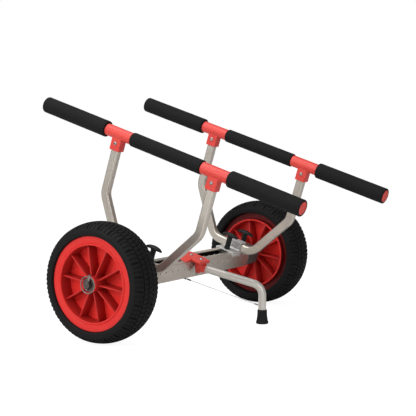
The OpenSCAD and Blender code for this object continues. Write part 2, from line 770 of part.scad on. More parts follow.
// Crimped ferrule under the eye
module cable_ferrule_top() {
    color(dark) along_cable(eye_clear) ring(ferrule_dia / 2, cable_dia / 2 + fine / 2, ferrule_len);
}

// Crimped ferrule at the leg, with its rivet in the tube
module cable_ferrule_foot() {
    color(steel) along_cable(cable_span - cable_seat - ferrule_len)
        ring(ferrule_dia / 2, cable_dia / 2 + fine / 2, ferrule_len);
}

// Steel stay cable, drawn tight between the eye and the leg
module stay_cable() {
    color(steel) along_cable(eye_clear - 1)
        cylinder(d = cable_dia, h = cable_span - cable_seat - eye_clear + 1, $fn = 16);
}

cap_proud = 0.4;
foam_gap = 0.3;
end_from = arm_y + tee_len / 2 + foam_gap;
end_to = bar_len / 2 - cap_proud;
mid_to = arm_y - tee_len / 2 - foam_gap;

crossbeam();
end_block(-1);  // end_block_left
end_block(1);  // end_block_right
block_screws();
axle(-1);  // axle_left
axle(1);  // axle_right
axle_pins();
axle_washers(-1);  // axle_washers_left
axle_washers(1);  // axle_washers_right
linch_pin(-1);  // linch_pin_left
linch_pin(1);  // linch_pin_right
tyre(-1);  // tyre_left
rim(-1);  // rim_left
hub_bushes(-1);  // hub_bushes_left
tyre(1);  // tyre_right
rim(1);  // rim_right
hub_bushes(1);  // hub_bushes_right
side_frame(-1);  // side_frame_left
clamp(-1);  // clamp_left
slide_nuts(-1);  // slide_nuts_left
bar_tube(-1);  // bar_tube_left
tee(-1, -1);  // tee_front_left
tee(-1, 1);  // tee_rear_left
tee_screws(-1);  // tee_screws_left
foam_sleeve(-1, -end_to, -end_from, foam_end_dia, -1);  // foam_front_left
foam_sleeve(-1, -mid_to, mid_to, foam_mid_dia);  // foam_middle_left
foam_sleeve(-1, end_from, end_to, foam_end_dia, 1);  // foam_rear_left
end_caps(-1);  // end_caps_left
side_frame(1);  // side_frame_right
clamp(1);  // clamp_right
slide_nuts(1);  // slide_nuts_right
bar_tube(1);  // bar_tube_right
tee(1, -1);  // tee_front_right
tee(1, 1);  // tee_rear_right
tee_screws(1);  // tee_screws_right
foam_sleeve(1, -end_to, -end_from, foam_end_dia, -1);  // foam_front_right
foam_sleeve(1, -mid_to, mid_to, foam_mid_dia);  // foam_middle_right
foam_sleeve(1, end_from, end_to, foam_end_dia, 1);  // foam_rear_right
end_caps(1);  // end_caps_right
knob(-1, -1);  // knob_inner_left
knob(-1, 1);  // knob_outer_left
knob(1, -1);  // knob_inner_right
knob(1, 1);  // knob_outer_right
stand_bracket();
bracket_screw();
pivot_screw();
stand_knuckle();
stand_tube();
stand_foot();
cable_eye();
cable_ferrule_top();
cable_ferrule_foot();
stay_cable();
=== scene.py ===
import math
import random

import bpy
from mathutils import Matrix, Vector


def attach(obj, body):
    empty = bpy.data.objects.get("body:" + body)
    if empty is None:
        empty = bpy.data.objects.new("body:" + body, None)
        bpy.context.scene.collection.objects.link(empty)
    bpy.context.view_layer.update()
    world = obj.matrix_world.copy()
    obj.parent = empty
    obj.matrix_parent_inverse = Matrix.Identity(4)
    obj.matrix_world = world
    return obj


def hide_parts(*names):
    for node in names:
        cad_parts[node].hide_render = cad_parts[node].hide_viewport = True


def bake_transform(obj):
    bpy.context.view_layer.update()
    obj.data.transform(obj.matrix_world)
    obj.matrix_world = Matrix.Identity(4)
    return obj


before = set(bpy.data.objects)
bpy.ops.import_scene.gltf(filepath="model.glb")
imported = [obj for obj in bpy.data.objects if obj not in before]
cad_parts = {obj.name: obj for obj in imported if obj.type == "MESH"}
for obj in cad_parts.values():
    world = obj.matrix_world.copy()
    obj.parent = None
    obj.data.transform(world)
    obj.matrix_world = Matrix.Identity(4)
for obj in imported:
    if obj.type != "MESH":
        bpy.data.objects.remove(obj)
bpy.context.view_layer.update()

# ---- View and studio ----
# The camera stands low at the cart's left front corner, as far off as a long lens needs.
# A white floor, a white surround and three soft lamps stand in for the photo studio.
MM = 0.001
CAMERA_AT = (-2.4314, -1.5324, 0.5093)
CAMERA_TURN = 57.40
CAMERA_DIP = 4.764
CAMERA_LENS = 108.04
LAMPS_AIM = (0, 0, 0.2)
SURROUND_LIGHT = 0.3
FLOOR_SIZE = 14
FLOOR_DROP = 0.0006
FLOOR_GLOW = 0.92

camera_data = bpy.data.cameras.new("studio_camera")
camera_data.lens = CAMERA_LENS
camera_data.sensor_width = 36
camera = bpy.data.objects.new("studio_camera", camera_data)
camera.location = CAMERA_AT
camera.rotation_euler = (math.radians(90 - CAMERA_DIP), 0, -math.radians(CAMERA_TURN))
bpy.context.collection.objects.link(camera)
bpy.context.scene.camera = camera
bpy.context.scene.view_settings.view_transform = "Standard"


def soft_lamp(name, at, size, watts):
    lamp = bpy.data.lights.new(name, "AREA")
    lamp.shape = "DISK"
    lamp.size = size
    lamp.energy = watts
    holder = bpy.data.objects.new(name, lamp)
    holder.location = at
    holder.rotation_euler = (Vector(LAMPS_AIM) - Vector(at)).to_track_quat("-Z", "Y").to_euler()
    bpy.context.collection.objects.link(holder)


soft_lamp("lamp_left", (-3.0, 0.7, 1.6), size=2.2, watts=52)
soft_lamp("lamp_front", (-1.4, -2.8, 1.2), size=1.6, watts=14)
soft_lamp("lamp_above", (-0.5, 0.4, 2.4), size=1.8, watts=34)


def seen_directly(nodes, links):
    """1 where the camera looks straight at it or through glass, otherwise 0."""
    path = nodes.new("ShaderNodeLightPath")
    both = nodes.new("ShaderNodeMath")
    both.operation = "MAXIMUM"
    links.new(path.outputs["Is Camera Ray"], both.inputs[0])
    links.new(path.outputs["Is Transmission Ray"], both.inputs[1])
    return both.outputs[0]


surround = bpy.data.worlds.new("white_surround")
surround.use_nodes = True
bpy.context.scene.world = surround
tree = surround.node_tree
tree.nodes.clear()
glow = tree.nodes.new("ShaderNodeBackground")
glow.inputs["Color"].default_value = (1, 1, 1, 1)
glow.inputs["Strength"].default_value = SURROUND_LIGHT
white = tree.nodes.new("ShaderNodeBackground")
white.inputs["Strength"].default_value = 1.0
white.inputs["Color"].default_value = (1, 1, 1, 1)
either = tree.nodes.new("ShaderNodeMixShader")
tree.links.new(seen_directly(tree.nodes, tree.links), either.inputs["Fac"])
tree.links.new(glow.outputs[0], either.inputs[1])
tree.links.new(white.outputs[0], either.inputs[2])
world_out = tree.nodes.new("ShaderNodeOutputWorld")
tree.links.new(either.outputs[0], world_out.inputs["Surface"])

bpy.ops.object.select_all(action="DESELECT")
bpy.ops.mesh.primitive_plane_add(size=FLOOR_SIZE, location=(0, 0, -FLOOR_DROP))
floor = bpy.context.object
floor.name = "studio_floor"
floor_paint = bpy.data.materials.new("floor_white")
floor_paint.use_nodes = True
tree = floor_paint.node_tree
tree.nodes.clear()
matt = tree.nodes.new("ShaderNodeBsdfDiffuse")
matt.inputs["Color"].default_value = (0.3, 0.3, 0.3, 1)
lit = tree.nodes.new("ShaderNodeEmission")
lit.inputs["Color"].default_value = (1, 1, 1, 1)
lit.inputs["Strength"].default_value = FLOOR_GLOW
lit_and_matt = tree.nodes.new("ShaderNodeAddShader")
tree.links.new(matt.outputs[0], lit_and_matt.inputs[0])
tree.links.new(lit.outputs[0], lit_and_matt.inputs[1])
plain = tree.nodes.new("ShaderNodeBsdfDiffuse")
plain.inputs["Color"].default_value = (0.8, 0.8, 0.8, 1)
either = tree.nodes.new("ShaderNodeMixShader")
tree.links.new(seen_directly(tree.nodes, tree.links), either.inputs["Fac"])
tree.links.new(plain.outputs[0], either.inputs[1])
tree.links.new(lit_and_matt.outputs[0], either.inputs[2])
floor_out = tree.nodes.new("ShaderNodeOutputMaterial")
tree.links.new(either.outputs[0], floor_out.inputs["Surface"])
floor.data.materials.append(floor_paint)

# ---- Crossbeam and its end blocks ----
# An extruded aluminium channel, open at the top, with a row of holes along both walls.
# A dark moulded block closes each end, held by screws from below; an upright pin holds its axle.
TILT = math.radians(17.5)
AXLE_HIGH = 131
BEAM_INSIDE_D = 19
BEAM_INSIDE_H = 18
BEAM_SKIN = 0.5
BAR_Z = 283
BAR_SHIFT = 6
Y_SHIFT = BAR_Z * math.sin(TILT) - BAR_SHIFT * math.cos(TILT)
STANDING = (Matrix.Translation((0, Y_SHIFT * MM, AXLE_HIGH * MM)) @ Matrix.Rotation(TILT, 4, "X")
            @ Matrix.Scale(MM, 4))


def new_group(name, ins, outs):
    """A shader group with its sockets: ins as (label, type, value) and outs as (label, type)."""
    group = bpy.data.node_groups.new(name, "ShaderNodeTree")
    for label, kind, value in ins:
        socket = group.interface.new_socket(name=label, in_out="INPUT", socket_type=kind)
        socket.default_value = value
    for label, kind in outs:
        group.interface.new_socket(name=label, in_out="OUTPUT", socket_type=kind)
    entry = group.nodes.new("NodeGroupInput")
    leave = group.nodes.new("NodeGroupOutput")
    return group, entry, leave


def noise_at(group, source, scale, detail):
    noise = group.nodes.new("ShaderNodeTexNoise")
    noise.inputs["Detail"].default_value = detail
    noise.inputs["Scale"].default_value = scale
    group.links.new(source, noise.inputs["Vector"])
    return noise


def spread(group, value, low, high, to_low, to_high):
    """Maps a value from one range onto another, held inside it."""
    reach = group.nodes.new("ShaderNodeMapRange")
    for label, number in (("From Min", low), ("From Max", high), ("To Min", to_low), ("To Max", to_high)):
        reach.inputs[label].default_value = number
    group.links.new(value, reach.inputs["Value"])
    return reach.outputs["Result"]


def product(tree, first, second):
    """Two values multiplied."""
    times = tree.nodes.new("ShaderNodeMath")
    times.operation = "MULTIPLY"
    tree.links.new(first, times.inputs[0])
    tree.links.new(second, times.inputs[1])
    return times.outputs[0]


def blended(tree, factor, first, second):
    """A colour between two others; the second is a socket or a plain colour."""
    mix = tree.nodes.new("ShaderNodeMix")
    mix.data_type = "RGBA"
    tree.links.new(factor, mix.inputs["Factor"])
    tree.links.new(first, mix.inputs["A"])
    if isinstance(second, tuple):
        mix.inputs["B"].default_value = (*second, 1)
    else:
        tree.links.new(second, mix.inputs["B"])
    return mix.outputs["Result"]


# Grain: fine surface height, and slow cloudy changes of shade. Stretch draws both out along the beam.
grain, grain_in, grain_out = new_group(
    "surface_grain",
    [("Grain Size", "NodeSocketFloat", 900.0), ("Stretch", "NodeSocketVector", (1, 1, 1))],
    [("Height", "NodeSocketFloat"), ("Cloud", "NodeSocketFloat")])
where = grain.nodes.new("ShaderNodeTexCoord")
turned_level = grain.nodes.new("ShaderNodeMapping")
turned_level.inputs["Rotation"].default_value = (-TILT, 0, 0)
grain.links.new(where.outputs["Object"], turned_level.inputs["Vector"])
drawn = grain.nodes.new("ShaderNodeVectorMath")
drawn.operation = "MULTIPLY"
grain.links.new(turned_level.outputs["Vector"], drawn.inputs[0])
grain.links.new(grain_in.outputs["Stretch"], drawn.inputs[1])
fine = noise_at(grain, drawn.outputs[0], scale=900, detail=3)
grain.links.new(grain_in.outputs["Grain Size"], fine.inputs["Scale"])
slow = noise_at(grain, drawn.outputs[0], scale=38, detail=4)
grain.links.new(fine.outputs["Fac"], grain_out.inputs["Height"])
grain.links.new(spread(grain, slow.outputs["Fac"], 0.3, 0.7, 0, 1), grain_out.inputs["Cloud"])

# Rubbed edges: the corners that hands and straps touch turn paler.
rubbed, rubbed_in, rubbed_out = new_group(
    "rubbed_edges",
    [("Color", "NodeSocketColor", (1, 1, 1, 1)), ("Rubbed Color", "NodeSocketColor", (1, 1, 1, 1)),
     ("Amount", "NodeSocketFloat", 0.3)],
    [("Color", "NodeSocketColor"), ("Mask", "NodeSocketFloat")])
shape = rubbed.nodes.new("ShaderNodeNewGeometry")
where = rubbed.nodes.new("ShaderNodeTexCoord")
patches = noise_at(rubbed, where.outputs["Object"], scale=120, detail=5)
patchy = product(rubbed, spread(rubbed, shape.outputs["Pointiness"], 0.52, 0.6, 0, 1),
                 spread(rubbed, patches.outputs["Fac"], 0.35, 0.65, 0, 1))
amount = product(rubbed, patchy, rubbed_in.outputs["Amount"])
worn_color = blended(rubbed, amount, rubbed_in.outputs["Color"], rubbed_in.outputs["Rubbed Color"])
rubbed.links.new(worn_color, rubbed_out.inputs["Color"])
rubbed.links.new(amount, rubbed_out.inputs["Mask"])

# Dust: a little settles on what faces up.
dust, dust_in, dust_out = new_group(
    "settled_dust",
    [("Color", "NodeSocketColor", (1, 1, 1, 1)), ("Dust Color", "NodeSocketColor", (0.5, 0.47, 0.43, 1)),
     ("Amount", "NodeSocketFloat", 0.05)],
    [("Color", "NodeSocketColor"), ("Mask", "NodeSocketFloat")])
shape = dust.nodes.new("ShaderNodeNewGeometry")
facing = dust.nodes.new("ShaderNodeSeparateXYZ")
dust.links.new(shape.outputs["Normal"], facing.inputs[0])
where = dust.nodes.new("ShaderNodeTexCoord")
specks = noise_at(dust, where.outputs["Object"], scale=260, detail=6)
lying = product(dust, spread(dust, facing.outputs["Z"], 0.1, 1, 0, 1),
                spread(dust, specks.outputs["Fac"], 0.3, 0.75, 0, 1))
amount = product(dust, lying, dust_in.outputs["Amount"])
dusty_color = blended(dust, amount, dust_in.outputs["Color"], dust_in.outputs["Dust Color"])
dust.links.new(dusty_color, dust_out.inputs["Color"])
dust.links.new(amount, dust_out.inputs["Mask"])


def use_group(tree, group, **values):
    """Puts a shader group in a material, with these inputs set."""
    node = tree.nodes.new("ShaderNodeGroup")
    node.node_tree = group
    for label, value in values.items():
        node.inputs[label.replace("_", " ")].default_value = value
    return node


def surface(name, color, cloudy, rough, grain_size, grain_deep, metal=0.0, stretch=(1, 1, 1),
            worn=None, worn_amount=0.0, dusty=0.05, gloss=0.5, deep=None):
    """A finish from its colour, its cloudy second colour, roughness, grain and wear.
    Deep is the painted shade colour of the faces that the mesh marks as lying deep in a recess."""
    material = bpy.data.materials.new(name)
    material.use_nodes = True
    tree = material.node_tree
    shader = tree.nodes["Principled BSDF"]
    shader.inputs["Metallic"].default_value = metal
    shader.inputs["Specular IOR Level"].default_value = gloss
    texture = use_group(tree, grain, Grain_Size=grain_size, Stretch=stretch)
    tint = tree.nodes.new("ShaderNodeMix")
    tint.data_type = "RGBA"
    tint.inputs["A"].default_value = (*color, 1)
    tint.inputs["B"].default_value = (*cloudy, 1)
    tree.links.new(texture.outputs["Cloud"], tint.inputs["Factor"])
    shade = tint.outputs["Result"]
    # Faces that the mesh marks as deep get the painted shade colour
    if deep:
        marked = tree.nodes.new("ShaderNodeAttribute")
        marked.attribute_name = "deep"
        shade = blended(tree, marked.outputs["Fac"], shade, deep)
    edges = use_group(tree, rubbed, Rubbed_Color=(*(worn or color), 1), Amount=worn_amount)
    tree.links.new(shade, edges.inputs["Color"])
    settled = use_group(tree, dust, Amount=dusty)
    tree.links.new(edges.outputs["Color"], settled.inputs["Color"])
    tree.links.new(settled.outputs["Color"], shader.inputs["Base Color"])
    sheen = tree.nodes.new("ShaderNodeMapRange")
    sheen.inputs["To Min"].default_value = rough[0]
    sheen.inputs["To Max"].default_value = rough[1]
    tree.links.new(texture.outputs["Cloud"], sheen.inputs["Value"])
    tree.links.new(sheen.outputs["Result"], shader.inputs["Roughness"])
    bump = tree.nodes.new("ShaderNodeBump")
    bump.inputs["Distance"].default_value = grain_deep * MM
    bump.inputs["Strength"].default_value = 1.0
    tree.links.new(texture.outputs["Height"], bump.inputs["Height"])
    tree.links.new(bump.outputs["Normal"], shader.inputs["Normal"])
    return material


def paint_node(name, material):
    """Gives a CAD node that keeps its shape its better material."""
    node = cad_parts[name]
    if not node.data.materials:
        node.data.materials.append(material)
    for index in range(len(node.data.materials)):
        node.data.materials[index] = material


beam_metal = surface("beam_aluminium", (0.56, 0.505, 0.445), (0.64, 0.59, 0.53), rough=(0.3, 0.4),
                     grain_size=1400, grain_deep=0.002, metal=0.8, stretch=(0.05, 1, 1), dusty=0.03)

# Painted shade inside the channel: its inside is darkened, found by its place in the level cart
tree = beam_metal.node_tree
where = tree.nodes.new("ShaderNodeTexCoord")
levelled = tree.nodes.new("ShaderNodeMapping")
levelled.inputs["Rotation"].default_value = (-TILT, 0, 0)
levelled.inputs["Location"].default_value = -(Matrix.Rotation(-TILT, 3, "X") @ (STANDING.translation))
tree.links.new(where.outputs["Object"], levelled.inputs["Vector"])
folded = tree.nodes.new("ShaderNodeVectorMath")
folded.operation = "ABSOLUTE"
tree.links.new(levelled.outputs["Vector"], folded.inputs[0])
parts = tree.nodes.new("ShaderNodeSeparateXYZ")
tree.links.new(folded.outputs[0], parts.inputs[0])
within = []
for axis, limit in (("Y", BEAM_INSIDE_D), ("Z", BEAM_INSIDE_H)):
    test = tree.nodes.new("ShaderNodeMath")
    test.operation = "LESS_THAN"
    test.inputs[1].default_value = (limit + BEAM_SKIN) * MM
    tree.links.new(parts.outputs[axis], test.inputs[0])
    within.append(test.outputs[0])
shader = tree.nodes["Principled BSDF"]
unshaded_color = shader.inputs["Base Color"].links[0].from_socket
channel_shade_color = blended(tree, product(tree, *within), unshaded_color, (0.075, 0.06, 0.05))
tree.links.new(channel_shade_color, shader.inputs["Base Color"])

block_plastic = surface("block_grey_plastic", (0.055, 0.053, 0.05), (0.07, 0.068, 0.064),
                        rough=(0.5, 0.62), grain_size=1500, grain_deep=0.02, worn=(0.18, 0.18, 0.175),
                        worn_amount=0.5, dusty=0.02)
steel = surface("bright_steel", (0.5, 0.485, 0.46), (0.4, 0.385, 0.365), rough=(0.34, 0.46),
                grain_size=1200, grain_deep=0.004, metal=0.9, dusty=0.0)
axle_steel = surface("axle_dull_steel", (0.1, 0.088, 0.082), (0.15, 0.135, 0.127), rough=(0.42, 0.55),
                     grain_size=1200, grain_deep=0.004, metal=0.9, dusty=0.0)
ring_steel = surface("ring_steel", (0.3, 0.265, 0.25), (0.24, 0.215, 0.2), rough=(0.4, 0.5),
                     grain_size=1200, grain_deep=0.004, metal=0.85, dusty=0.0)
dark_steel = surface("dark_steel", (0.06, 0.06, 0.06), (0.09, 0.085, 0.08), rough=(0.35, 0.5),
                     grain_size=1200, grain_deep=0.015, metal=0.8)

paint_node("crossbeam", beam_metal)
for side in ("left", "right"):
    paint_node("axle_" + side, axle_steel)
    paint_node("axle_washers_" + side, axle_steel)
    paint_node("linch_pin_" + side, ring_steel)
paint_node("block_screws", steel)
paint_node("axle_pins", steel)


# Every piece is drawn level, in millimetres. Points nearer than the first number are merged, and
# shapes that are joined reach into each other by the second.
MERGE_WITHIN = 0.00001
OVERLAP = 1


def pick_only(piece):
    bpy.ops.object.select_all(action="DESELECT")
    piece.select_set(True)
    bpy.context.view_layer.objects.active = piece


def in_edit(piece, test=None, kind="FACE"):
    """Opens a piece in edit mode with only the faces chosen by place and normal selected."""
    pick_only(piece)
    bpy.ops.object.mode_set(mode="EDIT")
    bpy.ops.mesh.select_mode(type=kind)
    bpy.ops.mesh.select_all(action="SELECT" if test is None else "DESELECT")
    bpy.ops.object.mode_set(mode="OBJECT")
    if test is not None:
        for face in piece.data.polygons:
            face.select = bool(test(face.center, face.normal))
    bpy.ops.object.mode_set(mode="EDIT")


def out_of_edit():
    bpy.ops.object.mode_set(mode="OBJECT")


def round_edges(piece, width, segments=2, angle=30):
    """Small bevels on the sharp edges, as a mould or a file leaves them."""
    pick_only(piece)
    bevel = piece.modifiers.new("round_edges", "BEVEL")
    bevel.width = width
    bevel.segments = segments
    bevel.limit_method = "ANGLE"
    bevel.angle_limit = math.radians(angle)
    bpy.ops.object.modifier_apply(modifier=bevel.name)
    bpy.ops.object.shade_smooth_by_angle(angle=math.radians(angle))


def smoothed(piece, angle):
    pick_only(piece)
    bpy.ops.object.shade_smooth_by_angle(angle=math.radians(angle))


def bar_stock(name, outline, length, at_start=0.0):
    """An outline in Y and Z, drawn along X by an extrusion."""
    bpy.ops.object.select_all(action="DESELECT")
    bpy.ops.mesh.primitive_circle_add(vertices=len(outline), radius=1, fill_type="NGON")
    piece = bpy.context.object
    piece.name = name
    for vertex, (across, up) in zip(piece.data.vertices, outline):
        vertex.co = (at_start, across, up)
    in_edit(piece)
    bpy.ops.mesh.extrude_region_move(TRANSFORM_OT_translate={"value": (length, 0, 0)})
    bpy.ops.mesh.select_all(action="SELECT")
    bpy.ops.mesh.normals_make_consistent(inside=False)
    out_of_edit()
    return piece


def turned(name, section, steps):
    """A closed section of (along, radius) points spun round X."""
    bpy.ops.object.select_all(action="DESELECT")
    bpy.ops.mesh.primitive_circle_add(vertices=len(section), radius=1, fill_type="NOTHING")
    piece = bpy.context.object
    piece.name = name
    for vertex, (along, radius) in zip(piece.data.vertices, section):
        vertex.co = (along, 0, radius)
    in_edit(piece, kind="VERT")
    bpy.ops.mesh.spin(steps=steps, angle=2 * math.pi, center=(0, 0, 0), axis=(1, 0, 0))
    bpy.ops.mesh.select_all(action="SELECT")
    bpy.ops.mesh.remove_doubles(threshold=MERGE_WITHIN)
    bpy.ops.mesh.dissolve_degenerate(threshold=MERGE_WITHIN)
    bpy.ops.mesh.normals_make_consistent(inside=False)
    out_of_edit()
    return piece


def set_down(piece, matrix):
    """Moves a piece to its place in the standing cart and leaves its object at the origin."""
    piece.matrix_world = matrix
    pick_only(piece)
    bpy.ops.object.transform_apply(location=True, rotation=True, scale=True)


def finished(piece, material, body, slot, *nodes):
    """Gives a piece its material and body, and hides the CAD nodes it stands for. Its slot is not used."""
    piece.data.materials.clear()
    piece.data.materials.append(material)
    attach(piece, body)
    if nodes:
        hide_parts(*nodes)


def copy_of(piece, name):
    twin = piece.copy()
    twin.data = piece.data.copy()
    twin.name = name
    bpy.context.collection.objects.link(twin)
    return twin


def joined(name, pieces):
    bpy.ops.object.select_all(action="DESELECT")
    for piece in pieces:
        piece.select_set(True)
    bpy.context.view_layer.objects.active = pieces[0]
    bpy.ops.object.join()
    pieces[0].name = name
    return pieces[0]


def box_of(name, low, high):
    """A box primitive between two corners."""
    bpy.ops.object.select_all(action="DESELECT")
    middle = [(a + b) / 2 for a, b in zip(low, high)]
    bpy.ops.mesh.primitive_cube_add(size=1, location=middle)
    piece = bpy.context.object
    piece.name = name
    piece.scale = [b - a for a, b in zip(low, high)]
    bpy.ops.object.transform_apply(location=True, rotation=True, scale=True)
    return piece


def mirrored_x(piece):
    """Turns a finished level piece into the other side's, with its faces outwards again."""
    piece.data.transform(Matrix.Scale(-1, 4, (1, 0, 0)))
    piece.data.flip_normals()


BEAM_HALF = 245
PLUG_IN = 195
PLUG_HALF_D = 18.9
PLUG_LOW = 17.9
PLUG_HIGH = 12.5
BLOCK_END = 287.5
BLOCK_HALF_D = 23.5
BLOCK_HALF_H = 22.5
BLOCK_CUT = 9
# The block's outer face: a sunk ring round a raised middle, as (inset, step outwards)
BLOCK_STEPS = ((5.5, -2.2), (3, 2.0))

flat_d = BLOCK_HALF_D - BLOCK_CUT
flat_h = BLOCK_HALF_H - BLOCK_CUT
block_outline = [(-flat_d, -BLOCK_HALF_H), (flat_d, -BLOCK_HALF_H), (BLOCK_HALF_D, -flat_h),
                 (BLOCK_HALF_D, flat_h), (flat_d, BLOCK_HALF_H), (-flat_d, BLOCK_HALF_H),
                 (-BLOCK_HALF_D, flat_h), (-BLOCK_HALF_D, -flat_h)]
for sign, side in ((-1, "left"), (1, "right")):
    block = bar_stock("end_block_body_" + side, block_outline, BLOCK_END - BEAM_HALF, BEAM_HALF)
    in_edit(block, lambda c, n: n.x > 0.9)
    for inward, outward in BLOCK_STEPS:
        bpy.ops.mesh.inset(thickness=inward)
        bpy.ops.mesh.extrude_region_move(TRANSFORM_OT_translate={"value": (outward, 0, 0)})
    out_of_edit()
    in_edit(block, lambda c, n: n.x < -0.9)
    bpy.ops.mesh.inset(thickness=2.2)
    out_of_edit()
    round_edges(block, 0.9, segments=3, angle=25)
    plug = box_of("end_block_plug", (PLUG_IN, -PLUG_HALF_D, -PLUG_LOW),
                  (BEAM_HALF + OVERLAP, PLUG_HALF_D, PLUG_HIGH))
    round_edges(plug, 0.8)
    block = joined("end_block_body_" + side, [block, plug])
    if sign < 0:
        mirrored_x(block)
    set_down(block, STANDING)
    finished(block, block_plastic, "chassis", "grey_plastic", "end_block_" + side)

# ---- Wheels ----
# A one-piece red rim with ribs on both sides of its web, and a solid rubber tyre with block tread.
# Steel bushes with flanges are pressed into the hub and turn on the stub axles.
TRACK_HALF = 332
TYRE_R = 131
TYRE_HALF = 42.5
SHOULDER_R = 20
CROWN_R = 90
FLANGE_SET = 14
BARREL_R = 82
BARREL_OUT_R = 86
WEB_HALF = 3

shoulder_x = TYRE_HALF - SHOULDER_R
crown_centre = TYRE_R - CROWN_R
shoulder_y = crown_centre + math.sqrt((CROWN_R - SHOULDER_R) ** 2 - shoulder_x ** 2)


def tyre_outside(x):
    """Radius of the tyre's outside at a distance from its middle plane."""
    x = abs(x)
    meet = shoulder_x * CROWN_R / (CROWN_R - SHOULDER_R)
    if x <= meet:
        return crown_centre + math.sqrt(CROWN_R ** 2 - x ** 2)
    return shoulder_y + math.sqrt(max(SHOULDER_R ** 2 - (x - shoulder_x) ** 2, 0))


# Sideways stations of the tread: two grooves run round it on each side, 1.8 mm wide, and the
# shoulder's blocks lie outside them
INNER_GROOVE = (7.3, 9.1)
OUTER_GROOVE = (21.3, 23.1)
SHOULDER_FROM = 28.3
SHOULDER_TO = 39.6
TREAD_X = [0, *INNER_GROOVE, 15.2, *OUTER_GROOVE, SHOULDER_FROM, 32.5, 36.5, SHOULDER_TO]
MAIN_GROOVES = 26
MAIN_COLUMNS = 12
FINE_COLUMNS = 4
COLUMNS = MAIN_COLUMNS * MAIN_GROOVES
MAIN_DEEP = 1.9
FINE_DEEP = 1.4
UNCUT_WITHIN = 0.4

outside = [(x, tyre_outside(x)) for x in TREAD_X]
outside += [(41.6, 112.8), (42.45, 108.6), (42.1, 107.5), (42.4, 106.4), (41.2, 103.5), (38.6, 102.25)]
outer_bead = [(35.2, 102.1), (30.8, 102.1), (30.8, 86.2)]
inner_bead = [(x - FLANGE_SET, r) for x, r in outer_bead]
tyre_section = [(-x, r) for x, r in reversed(outside + inner_bead)] + outside[1:] + outer_bead

tyre = turned("tyre_tread_left", tyre_section, steps=COLUMNS)
column_angle = 2 * math.pi / COLUMNS


def tread_place(centre):
    """(distance from the middle, column, which side) of a tread face that hasn't been cut yet, or None."""
    across = abs(centre.x)
    if across > SHOULDER_TO or abs(math.hypot(centre.y, centre.z) - tyre_outside(across)) > UNCUT_WITHIN:
        return None
    column = int(math.floor((math.atan2(centre.y, centre.z) % (2 * math.pi)) / column_angle + 0.001))
    return across, column, MAIN_COLUMNS // 2 if centre.x > 0 else 0


def is_main(centre, normal):
    found = tread_place(centre)
    if not found:
        return False
    across, column, shift = found
    round_it = any(low < across < high for low, high in (INNER_GROOVE, OUTER_GROOVE))
    return round_it or (across > SHOULDER_FROM and (column + shift) % MAIN_COLUMNS == 0)


def is_fine(centre, normal):
    found = tread_place(centre)
    if not found:
        return False
    across, column, shift = found
    if across > SHOULDER_FROM:
        return (column + shift) % FINE_COLUMNS < 2
    stagger = 0 if across > OUTER_GROOVE[1] else 2 if across > INNER_GROOVE[1] else 1
    return (column + shift + stagger) % FINE_COLUMNS == 0


for test, deep in ((is_main, MAIN_DEEP), (is_fine, FINE_DEEP)):
    in_edit(tyre, test)
    bpy.ops.mesh.extrude_region_shrink_fatten(TRANSFORM_OT_shrink_fatten={"value": -deep})
    out_of_edit()
round_edges(tyre, 0.3, segments=1, angle=40)
tyre.data.transform(Matrix.Rotation(column_angle / 2, 4, "X"))

# The flange is flush on the outer side and set in on the crossbeam's side, inside the tyre's wall
outer_flange = [(30.9, BARREL_OUT_R), (30.9, 101.4), (31.5, 102.0), (34.2, 102.0), (34.9, 101.4),
                (35.0, 88.6), (34.3, 88.1), (34.3, 86.7)]
inner_flange = [(16.9, BARREL_OUT_R), (16.9, 101.4), (17.5, 102.0), (20.2, 102.0), (20.9, 101.4),
                (21.0, 87.2), (21.8, 86.2)]
edge_to_hub = [(35.1, 86.1), (36.3, 85.6), (36.9, 84.9), (36.9, 82.9), (36.2, 82.2), (34.0, BARREL_R),
               (12.0, 80.6), (4.4, 80.2), (WEB_HALF, 78.8), (WEB_HALF, 17.6), (20, 17.3), (39.5, 16.8),
               (40.6, 16.2), (41, 15.2), (41, 10.4)]
rim_section = outer_flange + edge_to_hub + [(-x, r) for x, r in reversed(inner_flange + edge_to_hub)]
rim = turned("rim_moulding_left", rim_section, steps=128)
round_edges(rim, 0.3, segments=1, angle=50)

# The ribs' edges slope, lower at the barrel than at the hub
RIBS = 10
RIB_HALF_T = 2.0
RIB_FROM_R = 15.5
RIB_TO_R = 81.6
RIB_AT_HUB = 32.0
RIB_AT_BARREL = 29.2
RIB_DRAFT = 0.72
RIB_PHASE = 0.25
rib_pieces = []
for face in (-1, 1):
    for number in range(RIBS):
        rib = box_of("spoke_rib", (WEB_HALF - OVERLAP, -RIB_HALF_T, RIB_FROM_R),
                     (RIB_AT_HUB, RIB_HALF_T, RIB_TO_R))
        in_edit(rib, lambda c, n: n.x > 0.9)
        bpy.ops.transform.resize(value=(1, RIB_DRAFT, 1))
        out_of_edit()
        for vertex in rib.data.vertices:
            if vertex.co.x > RIB_AT_HUB / 2 and vertex.co.z > RIB_TO_R / 2:
                vertex.co.x = RIB_AT_BARREL
        round_edges(rib, 0.5)
        rib.data.transform(Matrix.Rotation((number + RIB_PHASE) * 2 * math.pi / RIBS, 4, "X"))
        if face < 0:
            mirrored_x(rib)
        rib_pieces.append(rib)
rim = joined("rim_moulding_left", [rim] + rib_pieces)
bpy.ops.object.shade_smooth_by_angle(angle=math.radians(35))
